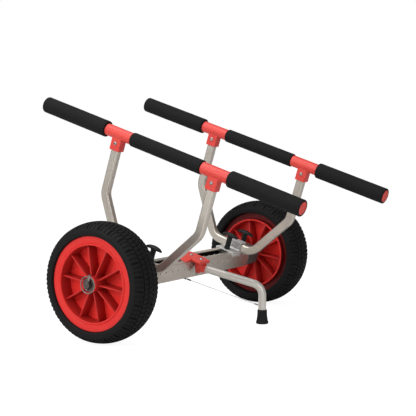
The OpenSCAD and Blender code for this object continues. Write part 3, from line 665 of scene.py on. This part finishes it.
# Shade in the rim's recesses: the set-in flange most, then the ribs' sides and the barrel's inner wall,
# the ribs' edges, the outer flange, and the web not at all
SHADE_SET_IN = 1.0
SHADE_WALL = 0.68
SHADE_RIB_EDGE = 0.5
SHADE_FLANGE = 0.3
MOUTH_X = 33
HUB_EDGE_R = 18
rim_shade_marks = rim.data.attributes.new("deep", "FLOAT", "FACE")
for face in rim.data.polygons:
    from_web = abs(face.center.x)
    out = math.hypot(face.center.y, face.center.z)
    if out < BARREL_R + 0.1 and from_web < MOUTH_X and abs(face.normal.x) < 0.5:
        rim_shade_marks.data[face.index].value = SHADE_WALL
    elif HUB_EDGE_R < out < BARREL_R and from_web > WEB_HALF + 2:
        rim_shade_marks.data[face.index].value = SHADE_RIB_EDGE
    elif out > BARREL_OUT_R + 0.1 and face.center.x < 0:
        rim_shade_marks.data[face.index].value = SHADE_SET_IN
    elif out >= BARREL_R - 1:
        rim_shade_marks.data[face.index].value = SHADE_FLANGE

tyre_rubber = surface("tyre_black_rubber", (0.0055, 0.0056, 0.006), (0.008, 0.0081, 0.0086),
                      rough=(0.6, 0.74), grain_size=900, grain_deep=0.03, worn=(0.016, 0.016, 0.017),
                      worn_amount=0.3, dusty=0.002, gloss=0.16)
# Its deep colour is the painted shade of the rim's recesses
rim_red = surface("rim_red_plastic", (0.95, 0.036, 0.03), (1.0, 0.046, 0.038), rough=(0.36, 0.46),
                  grain_size=1300, grain_deep=0.008, dusty=0.01, gloss=0.25, deep=(0.17, 0.007, 0.007))
for sign, side in ((-1, "left"), (1, "right")):
    for model, label, material, slot, node in (
            (tyre, "tyre_tread_", tyre_rubber, "tyre", "tyre_"),
            (rim, "rim_moulding_", rim_red, "red_plastic", "rim_")):
        piece = copy_of(model, label + side + "_piece")
        if sign < 0:
            mirrored_x(piece)
        set_down(piece, STANDING @ Matrix.Translation((sign * TRACK_HALF, 0, 0)))
        finished(piece, material, "wheel_" + side, slot, node + side)
    paint_node("hub_bushes_" + side, axle_steel)
for model in (tyre, rim):
    bpy.data.objects.remove(model)

# ---- Side frames ----
# One aluminium tube of rounded rectangular section, bent four times into a deep open frame.
# It keeps its exact shape from the frame model, with the faint marks that drawing leaves.
frame_metal = surface("frame_aluminium", (0.55, 0.5, 0.435), (0.62, 0.57, 0.505), rough=(0.28, 0.38),
                      grain_size=1500, grain_deep=0.004, metal=0.75, stretch=(1, 0.3, 0.3), dusty=0.03)
for side in ("left", "right"):
    paint_node("side_frame_" + side, frame_metal)
    paint_node("bar_tube_" + side, frame_metal)
    paint_node("slide_nuts_" + side, steel)
FRAME_X = 199

# ---- Clamps ----
# An extruded aluminium hat that holds the frame's tube down on the channel, with fine grooves
# along its sides and lips that hook over the channel's top edges.
CLAMP_HALF = 45.5
PLATE_Z = 21.3
CLAMP_T = 3.5
HAT_IN = 8.3
HAT_OUT = 11.8
HAT_UNDER = 41.6
HAT_TOP = 45.1
HAT_FILLET = 2.6
GROOVE_PITCH = 3.2
GROOVE_DEEP = 0.9
LIP_GAP = 0.3
LIP_DROP = 7.3
BEAM_FACE = 22


def hat_side(sign):
    """Side of the hat from its foot to its top, with grooves at an even pitch."""
    height = PLATE_Z + CLAMP_T + HAT_FILLET - 0.2
    points = [(sign * CLAMP_HALF, PLATE_Z), (sign * CLAMP_HALF, PLATE_Z + CLAMP_T),
              (sign * (HAT_OUT + HAT_FILLET), PLATE_Z + CLAMP_T), (sign * HAT_OUT, height)]
    floor_at = sign * (HAT_OUT - GROOVE_DEEP)
    while height < HAT_TOP - GROOVE_PITCH - 0.6:
        points += [(sign * HAT_OUT, height + 1.7), (floor_at, height + 2.0), (floor_at, height + 2.9),
                   (sign * HAT_OUT, height + GROOVE_PITCH)]
        height += GROOVE_PITCH
    points.append((sign * HAT_OUT, HAT_TOP))
    return points


inside = [(HAT_IN, PLATE_Z), (HAT_IN, HAT_UNDER), (-HAT_IN, HAT_UNDER), (-HAT_IN, PLATE_Z)]
hat_outline = inside + hat_side(-1) + list(reversed(hat_side(1)))
hat = bar_stock("clamp_hat", hat_outline, 2 * BEAM_FACE, -BEAM_FACE)
hat.data.transform(Matrix.Rotation(math.radians(90), 4, "Z"))
round_edges(hat, 0.35, segments=1, angle=28)
clamp_parts = [hat]
for end in (-1, 1):
    for half_side in (-1, 1):
        near, far = sorted((half_side * HAT_IN, half_side * CLAMP_HALF))
        back, front = sorted((end * (BEAM_FACE - 0.6), end * (BEAM_FACE + LIP_GAP + CLAMP_T)))
        lip = box_of("clamp_lip", (near, back, PLATE_Z), (far, front, PLATE_Z + CLAMP_T))
        hook_back, hook_front = sorted((end * (BEAM_FACE + LIP_GAP), end * (BEAM_FACE + LIP_GAP + CLAMP_T)))
        hook = box_of("clamp_hook", (near, hook_back, PLATE_Z - LIP_DROP), (far, hook_front, PLATE_Z + 0.5))
        round_edges(lip, 0.7)
        round_edges(hook, 0.9, segments=3)
        clamp_parts += [lip, hook]
clamp = joined("clamp_pattern", clamp_parts)
# The groove floors get the clamp finish's deep colour, a painted shade that draws the grooves as dark lines
groove_shade_marks = clamp.data.attributes.new("deep", "FLOAT", "FACE")
for face in clamp.data.polygons:
    sunk = HAT_OUT - GROOVE_DEEP - 0.1 < abs(face.center.x) < HAT_OUT - GROOVE_DEEP / 3
    in_groove = sunk and face.center.z > PLATE_Z + CLAMP_T + 3
    groove_shade_marks.data[face.index].value = 1.0 if in_groove else 0.0
clamp_metal = surface("clamp_aluminium", (0.52, 0.51, 0.5), (0.6, 0.59, 0.575), rough=(0.5, 0.6),
                      grain_size=1500, grain_deep=0.003, metal=0.4, stretch=(1, 0.2, 1), dusty=0.02,
                      deep=(0.16, 0.15, 0.145))
for sign, side in ((-1, "left"), (1, "right")):
    piece = copy_of(clamp, "clamp_hat_" + side)
    set_down(piece, STANDING @ Matrix.Translation((sign * FRAME_X, 0, 0)))
    finished(piece, clamp_metal, "frame_" + side, "aluminium", "clamp_" + side)
bpy.data.objects.remove(clamp)

# ---- Clamping knobs ----
# Black moulded T knobs on threaded studs, two on each clamp, whose wings lie along the bars.
# The head is a lens with drooping ends; the stem has a small foot against the clamp.
KNOB_X = 36
KNOB_FOOT = 25.1
KNOB_STEM = 34
WING_HALF = 23
WING_W = 7.5
WING_H = 6.4
WING_RISE = 0.86
WING_UNDER = 0.62
WING_DROOP = 3.1


def moulded(piece, voxel, keep):
    """Fuses overlapping shapes into one moulding with softened corners."""
    pick_only(piece)
    fuse = piece.modifiers.new("fuse", "REMESH")
    fuse.mode = "VOXEL"
    fuse.voxel_size = voxel
    bpy.ops.object.modifier_apply(modifier=fuse.name)
    soften = piece.modifiers.new("soften", "SMOOTH")
    soften.factor = 0.5
    soften.iterations = 4
    bpy.ops.object.modifier_apply(modifier=soften.name)
    thin = piece.modifiers.new("thin", "DECIMATE")
    thin.ratio = keep
    bpy.ops.object.modifier_apply(modifier=thin.name)
    bpy.ops.object.shade_smooth_by_angle(angle=math.radians(50))


stem_section = [(0.1, 0), (0.1, 6.9), (1.2, 7.4), (3.4, 7.3), (5.5, 6.5), (20, 6.3),
                (KNOB_STEM + 2, 6.9), (KNOB_STEM + 3, 0)]
stem = turned("knob_stem", [(KNOB_FOOT + along, radius) for along, radius in stem_section], steps=40)
stem.data.transform(Matrix.Rotation(math.radians(-90), 4, "Y"))
bpy.ops.object.select_all(action="DESELECT")
bpy.ops.mesh.primitive_uv_sphere_add(segments=40, ring_count=24, radius=1)
head = bpy.context.object
head.scale = (WING_W, WING_HALF, WING_H)
bpy.ops.object.transform_apply(location=True, rotation=True, scale=True)
wing_middle = KNOB_FOOT + KNOB_STEM + 1.9
for vertex in head.data.vertices:
    reach = abs(vertex.co.y) / WING_HALF
    flatter = WING_RISE if vertex.co.z > 0 else WING_UNDER
    vertex.co.z = vertex.co.z * flatter + wing_middle - WING_DROOP * reach ** 2
knob = joined("knob_pattern", [stem, head])
moulded(knob, voxel=0.55, keep=0.3)
grip_plastic = surface("knob_black_plastic", (0.007, 0.007, 0.0075), (0.01, 0.01, 0.0105),
                       rough=(0.42, 0.54), grain_size=1600, grain_deep=0.01, worn=(0.03, 0.03, 0.03),
                       worn_amount=0.3, dusty=0.002, gloss=0.25)
STUD_R = 4.0
THREAD_ROOT_R = 3.45
THREAD_PITCH = 1.25
THREAD_POINTS = 20
STUD_LOW = 12.8
ridges = [(STUD_LOW + 0.7 + THREAD_PITCH / 2 * k, STUD_R if k % 2 else THREAD_ROOT_R)
          for k in range(THREAD_POINTS)]
stud_thread = turned("stud_pattern", [(STUD_LOW, 0), (STUD_LOW, 3.3), (STUD_LOW + 0.5, STUD_R)] + ridges
                     + [(KNOB_FOOT + 1.0, STUD_R), (KNOB_FOOT + 1.0, 0)], steps=32)
stud_thread.data.transform(Matrix.Rotation(math.radians(-90), 4, "Y"))
smoothed(stud_thread, angle=40)
for sign, side in ((-1, "left"), (1, "right")):
    for step, which in ((-1, "inner"), (1, "outer")):
        place = STANDING @ Matrix.Translation((sign * (FRAME_X + step * KNOB_X), 0, 0))
        label = "%s_%s" % (which, side)
        piece = copy_of(knob, "knob_grip_" + label)
        set_down(piece, place)
        finished(piece, grip_plastic, "knob_" + label, "black_plastic", "knob_" + label)
        piece = copy_of(stud_thread, "knob_stud_" + label)
        set_down(piece, place)
        finished(piece, steel, "knob_" + label, "steel")
bpy.data.objects.remove(knob)
bpy.data.objects.remove(stud_thread)

# ---- Tee connectors ----
# Red moulded tees: a sleeve round each padded bar and a rectangular socket down over the frame's arm,
# held by a pan-head screw through the socket's side.
TEE_Y = 132
TEE_HALF = 36
TEE_R = 13.5
TEE_BORE = 11.15
SOCKET_A = 26
SOCKET_B = 21
SOCKET_DROP = 38
SOCKET_START = 8
SOCKET_WALL = 2.5
SOCKET_HOLLOW = 22
SCREW_DROP = 21

sleeve = turned("tee_sleeve", [(-TEE_HALF, TEE_BORE), (-TEE_HALF, TEE_R - 0.5), (-TEE_HALF + 0.5, TEE_R),
                               (TEE_HALF - 0.5, TEE_R), (TEE_HALF, TEE_R - 0.5), (TEE_HALF, TEE_BORE)],
                steps=72)
sleeve.data.transform(Matrix.Rotation(math.radians(90), 4, "Z"))
half_a = SOCKET_A / 2
half_b = SOCKET_B / 2
socket_outline = [(-half_a, -half_b), (half_a, -half_b), (half_a, half_b), (-half_a, half_b)]
socket_wall = bar_stock("tee_socket", socket_outline, SOCKET_DROP - SOCKET_START)
socket_wall.data.transform(Matrix(((0, 0, 1, 0), (0, 1, 0, 0), (-1, 0, 0, -SOCKET_START), (0, 0, 0, 1))))
in_edit(socket_wall, lambda c, n: n.z < -0.9)
bpy.ops.mesh.normals_make_consistent(inside=False)
bpy.ops.mesh.inset(thickness=SOCKET_WALL)
bpy.ops.mesh.extrude_region_move(TRANSFORM_OT_translate={"value": (0, 0, SOCKET_HOLLOW)})
out_of_edit()
in_edit(socket_wall)
bpy.ops.mesh.normals_make_consistent(inside=False)
out_of_edit()
round_edges(socket_wall, 0.9, segments=3, angle=40)
tee = joined("tee_pattern", [sleeve, socket_wall])
moulded(tee, voxel=0.6, keep=0.3)
tee_red = surface("tee_red_plastic", (0.7, 0.052, 0.04), (0.76, 0.064, 0.05), rough=(0.4, 0.5),
                  grain_size=1400, grain_deep=0.012, worn=(0.85, 0.15, 0.12), worn_amount=0.25,
                  dusty=0.01, gloss=0.4)


def pan_screw(name, head_r, shank_r, length):
    """A pan-head screw along X: its recessed head stands on X = 0, its shank runs back from there."""
    dome_r = 4.3
    dome = [(0, dome_r), (0.5, dome_r), (1.5, 3.9), (2.2, 2.9), (2.5, 2.1), (1.3, 1.9), (1.2, 0)]
    size = head_r / dome_r
    shank = [(-length, 0), (-length, shank_r - 0.4), (-length + 0.4, shank_r), (0, shank_r)]
    piece = turned(name, shank + [(along * size, radius * size) for along, radius in dome], steps=36)
    smoothed(piece, angle=35)
    return piece


for sign, side in ((-1, "left"), (1, "right")):
    heads = []
    for end, place_name in ((-1, "front"), (1, "rear")):
        label = "%s_%s" % (place_name, side)
        tee_y = BAR_SHIFT + end * TEE_Y
        piece = copy_of(tee, "tee_moulding_" + label)
        set_down(piece, STANDING @ Matrix.Translation((sign * FRAME_X, tee_y, BAR_Z)))
        finished(piece, tee_red, "frame_" + side, "red_plastic", "tee_" + label)
        cap_screw = pan_screw("tee_screw_" + label, head_r=4.3, shank_r=2, length=2.2)
        at_socket = Matrix.Translation((sign * FRAME_X - half_b, tee_y, BAR_Z - SCREW_DROP))
        set_down(cap_screw, STANDING @ at_socket @ Matrix.Rotation(math.pi, 4, "Z"))
        heads.append(cap_screw)
    pair = joined("tee_screw_pair_" + side, heads)
    finished(pair, steel, "frame_" + side, "steel", "tee_screws_" + side)
bpy.data.objects.remove(tee)

# ---- Foam sleeves and end caps ----
# Black closed-cell foam pushed over each bar in three lengths, thicker at the two ends.
# Red moulded caps are pressed into the bar's tube and close the end sleeves.
FOAM_IN = 11.2
FOAM_EDGE = 2.2
FOAM_END_R = 18.5
FOAM_MID_R = 16
BAR_HALF = 350
CAP_R = 14.5
CAP_T = 3
CAP_PROUD = 0.4
CAP_PLUG = 22
END_GAP = 0.3
FOAM_STATION = 12
FOAM_UNEVEN = 0.22

foam_black = surface("foam_black", (0.0075, 0.0075, 0.0078), (0.0105, 0.0105, 0.011), rough=(0.78, 0.9),
                     grain_size=800, grain_deep=0.12, worn=(0.02, 0.02, 0.021), worn_amount=0.2,
                     dusty=0.003, gloss=0.18)


def foam_sleeve(name, start, end, radius, cup):
    """A sleeve whose ends roll in a little, with a slow unevenness along its length.
    At a bar's end, given as -1 or 1, it is bored out for the end cap's face."""
    uneven = random.Random(name)
    seat = CAP_T + 0.2 - CAP_PROUD
    cup_r = CAP_R + 0.2
    section = [(start, FOAM_IN)]
    if cup < 0:
        section = [(start + seat, FOAM_IN), (start + seat, cup_r), (start, cup_r)]
    section += [(start, radius - FOAM_EDGE), (start + 0.3, radius - 1.1), (start + 1.1, radius - 0.4),
                (start + FOAM_EDGE, radius - 0.1)]
    stations = int((end - start) / FOAM_STATION)
    for k in range(1, stations):
        along = start + FOAM_EDGE + (end - start - 2 * FOAM_EDGE) * k / stations
        section.append((along, radius + uneven.uniform(-FOAM_UNEVEN, 0.0)))
    section += [(end - FOAM_EDGE, radius - 0.1), (end - 1.1, radius - 0.4), (end - 0.3, radius - 1.1),
                (end, radius - FOAM_EDGE)]
    if cup > 0:
        section += [(end, cup_r), (end - seat, cup_r), (end - seat, FOAM_IN)]
    else:
        section.append((end, FOAM_IN))
    piece = turned(name, section, steps=64)
    piece.data.transform(Matrix.Rotation(math.radians(90), 4, "Z"))
    smoothed(piece, angle=60)
    return piece


end_start = TEE_Y + TEE_HALF + END_GAP
middle_half = TEE_Y - TEE_HALF - END_GAP
bar_end = BAR_HALF - CAP_PROUD
# Section of an end cap from its plug to its dished face, measured back from the bar's end
cap_section = [(CAP_PLUG, 0), (CAP_PLUG, 8.6), (CAP_PLUG - 1, 9.3), (CAP_T, 9.4), (CAP_T, CAP_R - 0.2),
               (CAP_T - 0.5, CAP_R), (1.1, CAP_R), (0.3, CAP_R - 0.7), (0, CAP_R - 1.8),
               (0.1, CAP_R - 3.0), (0.9, CAP_R - 3.6), (0.7, 5), (0.5, 0)]
for sign, side in ((-1, "left"), (1, "right")):
    at_bar = STANDING @ Matrix.Translation((sign * FRAME_X, BAR_SHIFT, BAR_Z))
    for label, start, end, radius, cup in (
            ("front", -bar_end, -end_start, FOAM_END_R, -1),
            ("middle", -middle_half, middle_half, FOAM_MID_R, 0),
            ("rear", end_start, bar_end, FOAM_END_R, 1)):
        piece = foam_sleeve("foam_pad_%s_%s" % (label, side), start, end, radius, cup)
        set_down(piece, at_bar)
        finished(piece, foam_black, "frame_" + side, "foam", "foam_%s_%s" % (label, side))
    caps = []
    for end in (-1, 1):
        cap = turned("end_cap", [(BAR_HALF - back, radius) for back, radius in cap_section], steps=64)
        cap.data.transform(Matrix.Rotation(math.radians(90 * end), 4, "Z"))
        smoothed(cap, angle=40)
        caps.append(cap)
    pair = joined("end_cap_pair_" + side, caps)
    set_down(pair, at_bar)
    finished(pair, tee_red, "frame_" + side, "red_plastic", "end_caps_" + side)

# ---- Kickstand bracket and knuckle ----
# A red moulded bracket lies on the channel and overhangs its front; the pivot screw goes through
# the overhang and through the red knuckle that holds the kickstand's tube.
PIVOT_X = -5
PIVOT_Y = -34
BRACKET_TOP = 29
BRACKET_UNDER = 21.05
SADDLE_EDGE = 22.6
BRACKET_W = 42
BRACKET_BASE = 86
BRACKET_BACK = 14
BRACKET_FRONT = -47
STAND_Z = 10
STAND_SKEW = math.radians(24)
KNUCKLE_LOW = -4
SCREW_BORE = 3.1
TUBE_BORE = 9.15
NUT_R = 5
NUT_T = 4
NUT_LOW = KNUCKLE_LOW - 2.3
BRACKET_SCREW_Y = PIVOT_Y + 29
PLATE_TOP = 17.7
PLATE_T = 5
PLATE_HALF_L = 18
PLATE_HALF_W = 9

half_w = BRACKET_W / 2
half_base = BRACKET_BASE / 2
saddle_outline = [(-half_base, BRACKET_UNDER), (half_base, BRACKET_UNDER), (half_base, SADDLE_EDGE),
                  (half_w, BRACKET_TOP), (-half_w, BRACKET_TOP), (-half_base, SADDLE_EDGE)]
slope = bar_stock("bracket_saddle", saddle_outline, BRACKET_BACK + BEAM_FACE, -BEAM_FACE)
slope.data.transform(Matrix(((0, 1, 0, 0), (1, 0, 0, 0), (0, 0, 1, 0), (0, 0, 0, 1))))
slope.data.flip_normals()
nose = box_of("bracket_nose", (-half_w, BRACKET_FRONT, BRACKET_UNDER),
              (half_w, -BEAM_FACE + OVERLAP, BRACKET_TOP))
round_edges(slope, 1.2, segments=3, angle=20)
round_edges(nose, 2.2, segments=4)
bracket = joined("bracket_moulding", [slope, nose])
moulded(bracket, voxel=0.7, keep=0.25)
set_down(bracket, STANDING @ Matrix.Translation((PIVOT_X, 0, 0)))
finished(bracket, tee_red, "chassis", "red_plastic", "stand_bracket")

barrel = turned("knuckle_barrel", [(KNUCKLE_LOW + 0.2, SCREW_BORE), (KNUCKLE_LOW + 0.2, 5.0),
                                   (KNUCKLE_LOW + 1.0, 5.8), (STAND_Z, 10.7), (STAND_Z + 3, 11.2),
                                   (19.8, 11.2), (20.6, 10.4), (20.6, SCREW_BORE)], steps=56)
barrel.data.transform(Matrix.Rotation(math.radians(-90), 4, "Y"))
mouth = turned("knuckle_mouth", [(4, 0), (4, 10.9), (14.6, 10.8), (15.7, 10.3), (15.9, TUBE_BORE),
                                 (9.2, TUBE_BORE), (9.2, 0)], steps=56)
mouth.data.transform(Matrix.Translation((0, 0, STAND_Z)) @ Matrix.Rotation(math.radians(-90), 4, "Z"))
knuckle = joined("knuckle_moulding", [barrel, mouth])
moulded(knuckle, voxel=0.5, keep=0.3)
set_down(knuckle, STANDING @ Matrix.Translation((PIVOT_X, PIVOT_Y, 0)) @ Matrix.Rotation(STAND_SKEW, 4, "Z"))
finished(knuckle, tee_red, "kickstand", "red_plastic", "stand_knuckle")

pivot = pan_screw("pivot_shank", head_r=5, shank_r=3, length=BRACKET_TOP - KNUCKLE_LOW + NUT_T)
bpy.ops.object.select_all(action="DESELECT")
bpy.ops.mesh.primitive_cylinder_add(vertices=6, radius=NUT_R, depth=NUT_T, rotation=(0, math.radians(90), 0),
                                    location=(NUT_LOW - BRACKET_TOP, 0, 0))
nut = bpy.context.object
bpy.ops.object.transform_apply(location=True, rotation=True, scale=True)
round_edges(nut, 0.4)
pivot = joined("pivot_screw_and_nut", [pivot, nut])
holder = pan_screw("bracket_shank", head_r=4.75, shank_r=2.5, length=BRACKET_TOP - PLATE_TOP + PLATE_T + 2)
plate = box_of("bracket_plate",
               (PLATE_TOP - PLATE_T - BRACKET_TOP, -PLATE_HALF_L - BRACKET_SCREW_Y, -PLATE_HALF_W),
               (PLATE_TOP - BRACKET_TOP, PLATE_HALF_L - BRACKET_SCREW_Y, PLATE_HALF_W))
round_edges(plate, 0.5)
holder = joined("bracket_screw_and_plate", [holder, plate])
for piece, along, node in ((pivot, PIVOT_Y, "pivot_screw"), (holder, BRACKET_SCREW_Y, "bracket_screw")):
    piece.data.transform(Matrix.Rotation(math.radians(-90), 4, "Y"))
    set_down(piece, STANDING @ Matrix.Translation((PIVOT_X, along, BRACKET_TOP)))
    finished(piece, steel, "chassis", "steel", node)

# ---- Kickstand tube and foot ----
# A round aluminium tube bent down to the ground keeps its exact shape from the frame model.
# A black rubber foot that flares at the sole is pushed over its end.
stand_metal = surface("stand_aluminium", (0.68, 0.64, 0.585), (0.74, 0.705, 0.65), rough=(0.3, 0.38),
                      grain_size=1600, grain_deep=0.001, metal=0.75, dusty=0.02)
paint_node("stand_tube", stand_metal)
FOOT_X = 57.637
FOOT_Y = -90.231
foot_section = [(0.0, 0), (0.0, 12.4), (0.6, 13.8), (2.2, 14.5), (5.0, 14.4), (6.8, 13.6), (7.8, 13.5),
                (9.0, 13.0), (10.0, 12.9), (20, 11.6), (30, 11.2), (32, 11.0), (32.9, 10.2),
                (32.9, TUBE_BORE), (6.2, TUBE_BORE), (6.2, 0)]
foot = turned("stand_foot_rubber", foot_section, steps=56)
foot.data.transform(Matrix.Rotation(math.radians(-90), 4, "Y"))
smoothed(foot, angle=45)
set_down(foot, Matrix.Translation((FOOT_X * MM, FOOT_Y * MM, 0)) @ Matrix.Scale(MM, 4))
foot_rubber = surface("foot_black_rubber", (0.007, 0.007, 0.0073), (0.01, 0.01, 0.0104),
                      rough=(0.55, 0.7), grain_size=1100, grain_deep=0.03, worn=(0.025, 0.025, 0.025),
                      worn_amount=0.3, dusty=0.003, gloss=0.25)
finished(foot, foot_rubber, "kickstand", "foot_rubber", "stand_foot")

# ---- Stay cable ----
# Seven-strand steel wire between an eye under the channel and the kickstand's leg, with a crimped
# ferrule at each end. It is taut while the stand is out.
CORNER_HIGH = 88.008
CORNER_Y = -174.686
CABLE_LOW = 40
EYE_CLEAR = 3
LEG_CLEAR = 10
STRANDS_ROUND = 6
STRAND_R = 0.29
STRAND_OUT = 0.5
PITCH = 9.0
STEPS_A_TURN = 10

eye_at = Vector((-20, -15, -25))
leg_drop = CORNER_HIGH - CABLE_LOW
leg_at = Vector((FOOT_X, CORNER_Y - leg_drop * math.sin(TILT), STAND_Z - leg_drop * math.cos(TILT)))
run = leg_at - eye_at
along_run = run.to_track_quat("Z", "Y").to_matrix().to_4x4()
cable_length = run.length - LEG_CLEAR - EYE_CLEAR
wire_steel = surface("wire_steel", (0.8, 0.79, 0.77), (0.7, 0.69, 0.67), rough=(0.3, 0.4),
                     grain_size=1200, grain_deep=0.004, metal=0.5, dusty=0.0)

strands = []
for number in range(STRANDS_ROUND + 1):
    bpy.ops.object.select_all(action="DESELECT")
    bpy.ops.mesh.primitive_circle_add(vertices=6, radius=STRAND_R, fill_type="NGON",
                                      location=(STRAND_OUT if number else 0, 0, 0))
    strand = bpy.context.object
    bpy.ops.object.transform_apply(location=True, rotation=True, scale=True)
    strand.data.transform(Matrix.Rotation(number * 2 * math.pi / STRANDS_ROUND, 4, "Z"))
    turn = strand.modifiers.new("lay", "SCREW")
    turn.axis = "Z"
    turn.angle = 2 * math.pi * cable_length / PITCH
    turn.screw_offset = cable_length
    turn.steps = turn.render_steps = int(STEPS_A_TURN * cable_length / PITCH)
    turn.use_merge_vertices = False
    pick_only(strand)
    bpy.ops.object.modifier_apply(modifier=turn.name)
    strands.append(strand)
cable = joined("stay_wire", strands)
in_edit(cable)
bpy.ops.mesh.remove_doubles(threshold=MERGE_WITHIN)
bpy.ops.mesh.normals_make_consistent(inside=False)
out_of_edit()
smoothed(cable, angle=60)
set_down(cable, STANDING @ Matrix.Translation(eye_at) @ along_run @ Matrix.Translation((0, 0, EYE_CLEAR)))
cable.data.materials.clear()
cable.data.materials.append(wire_steel)
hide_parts("stay_cable")
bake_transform(cable)
paint_node("cable_eye", dark_steel)
paint_node("cable_ferrule_top", dark_steel)
paint_node("cable_ferrule_foot", steel)
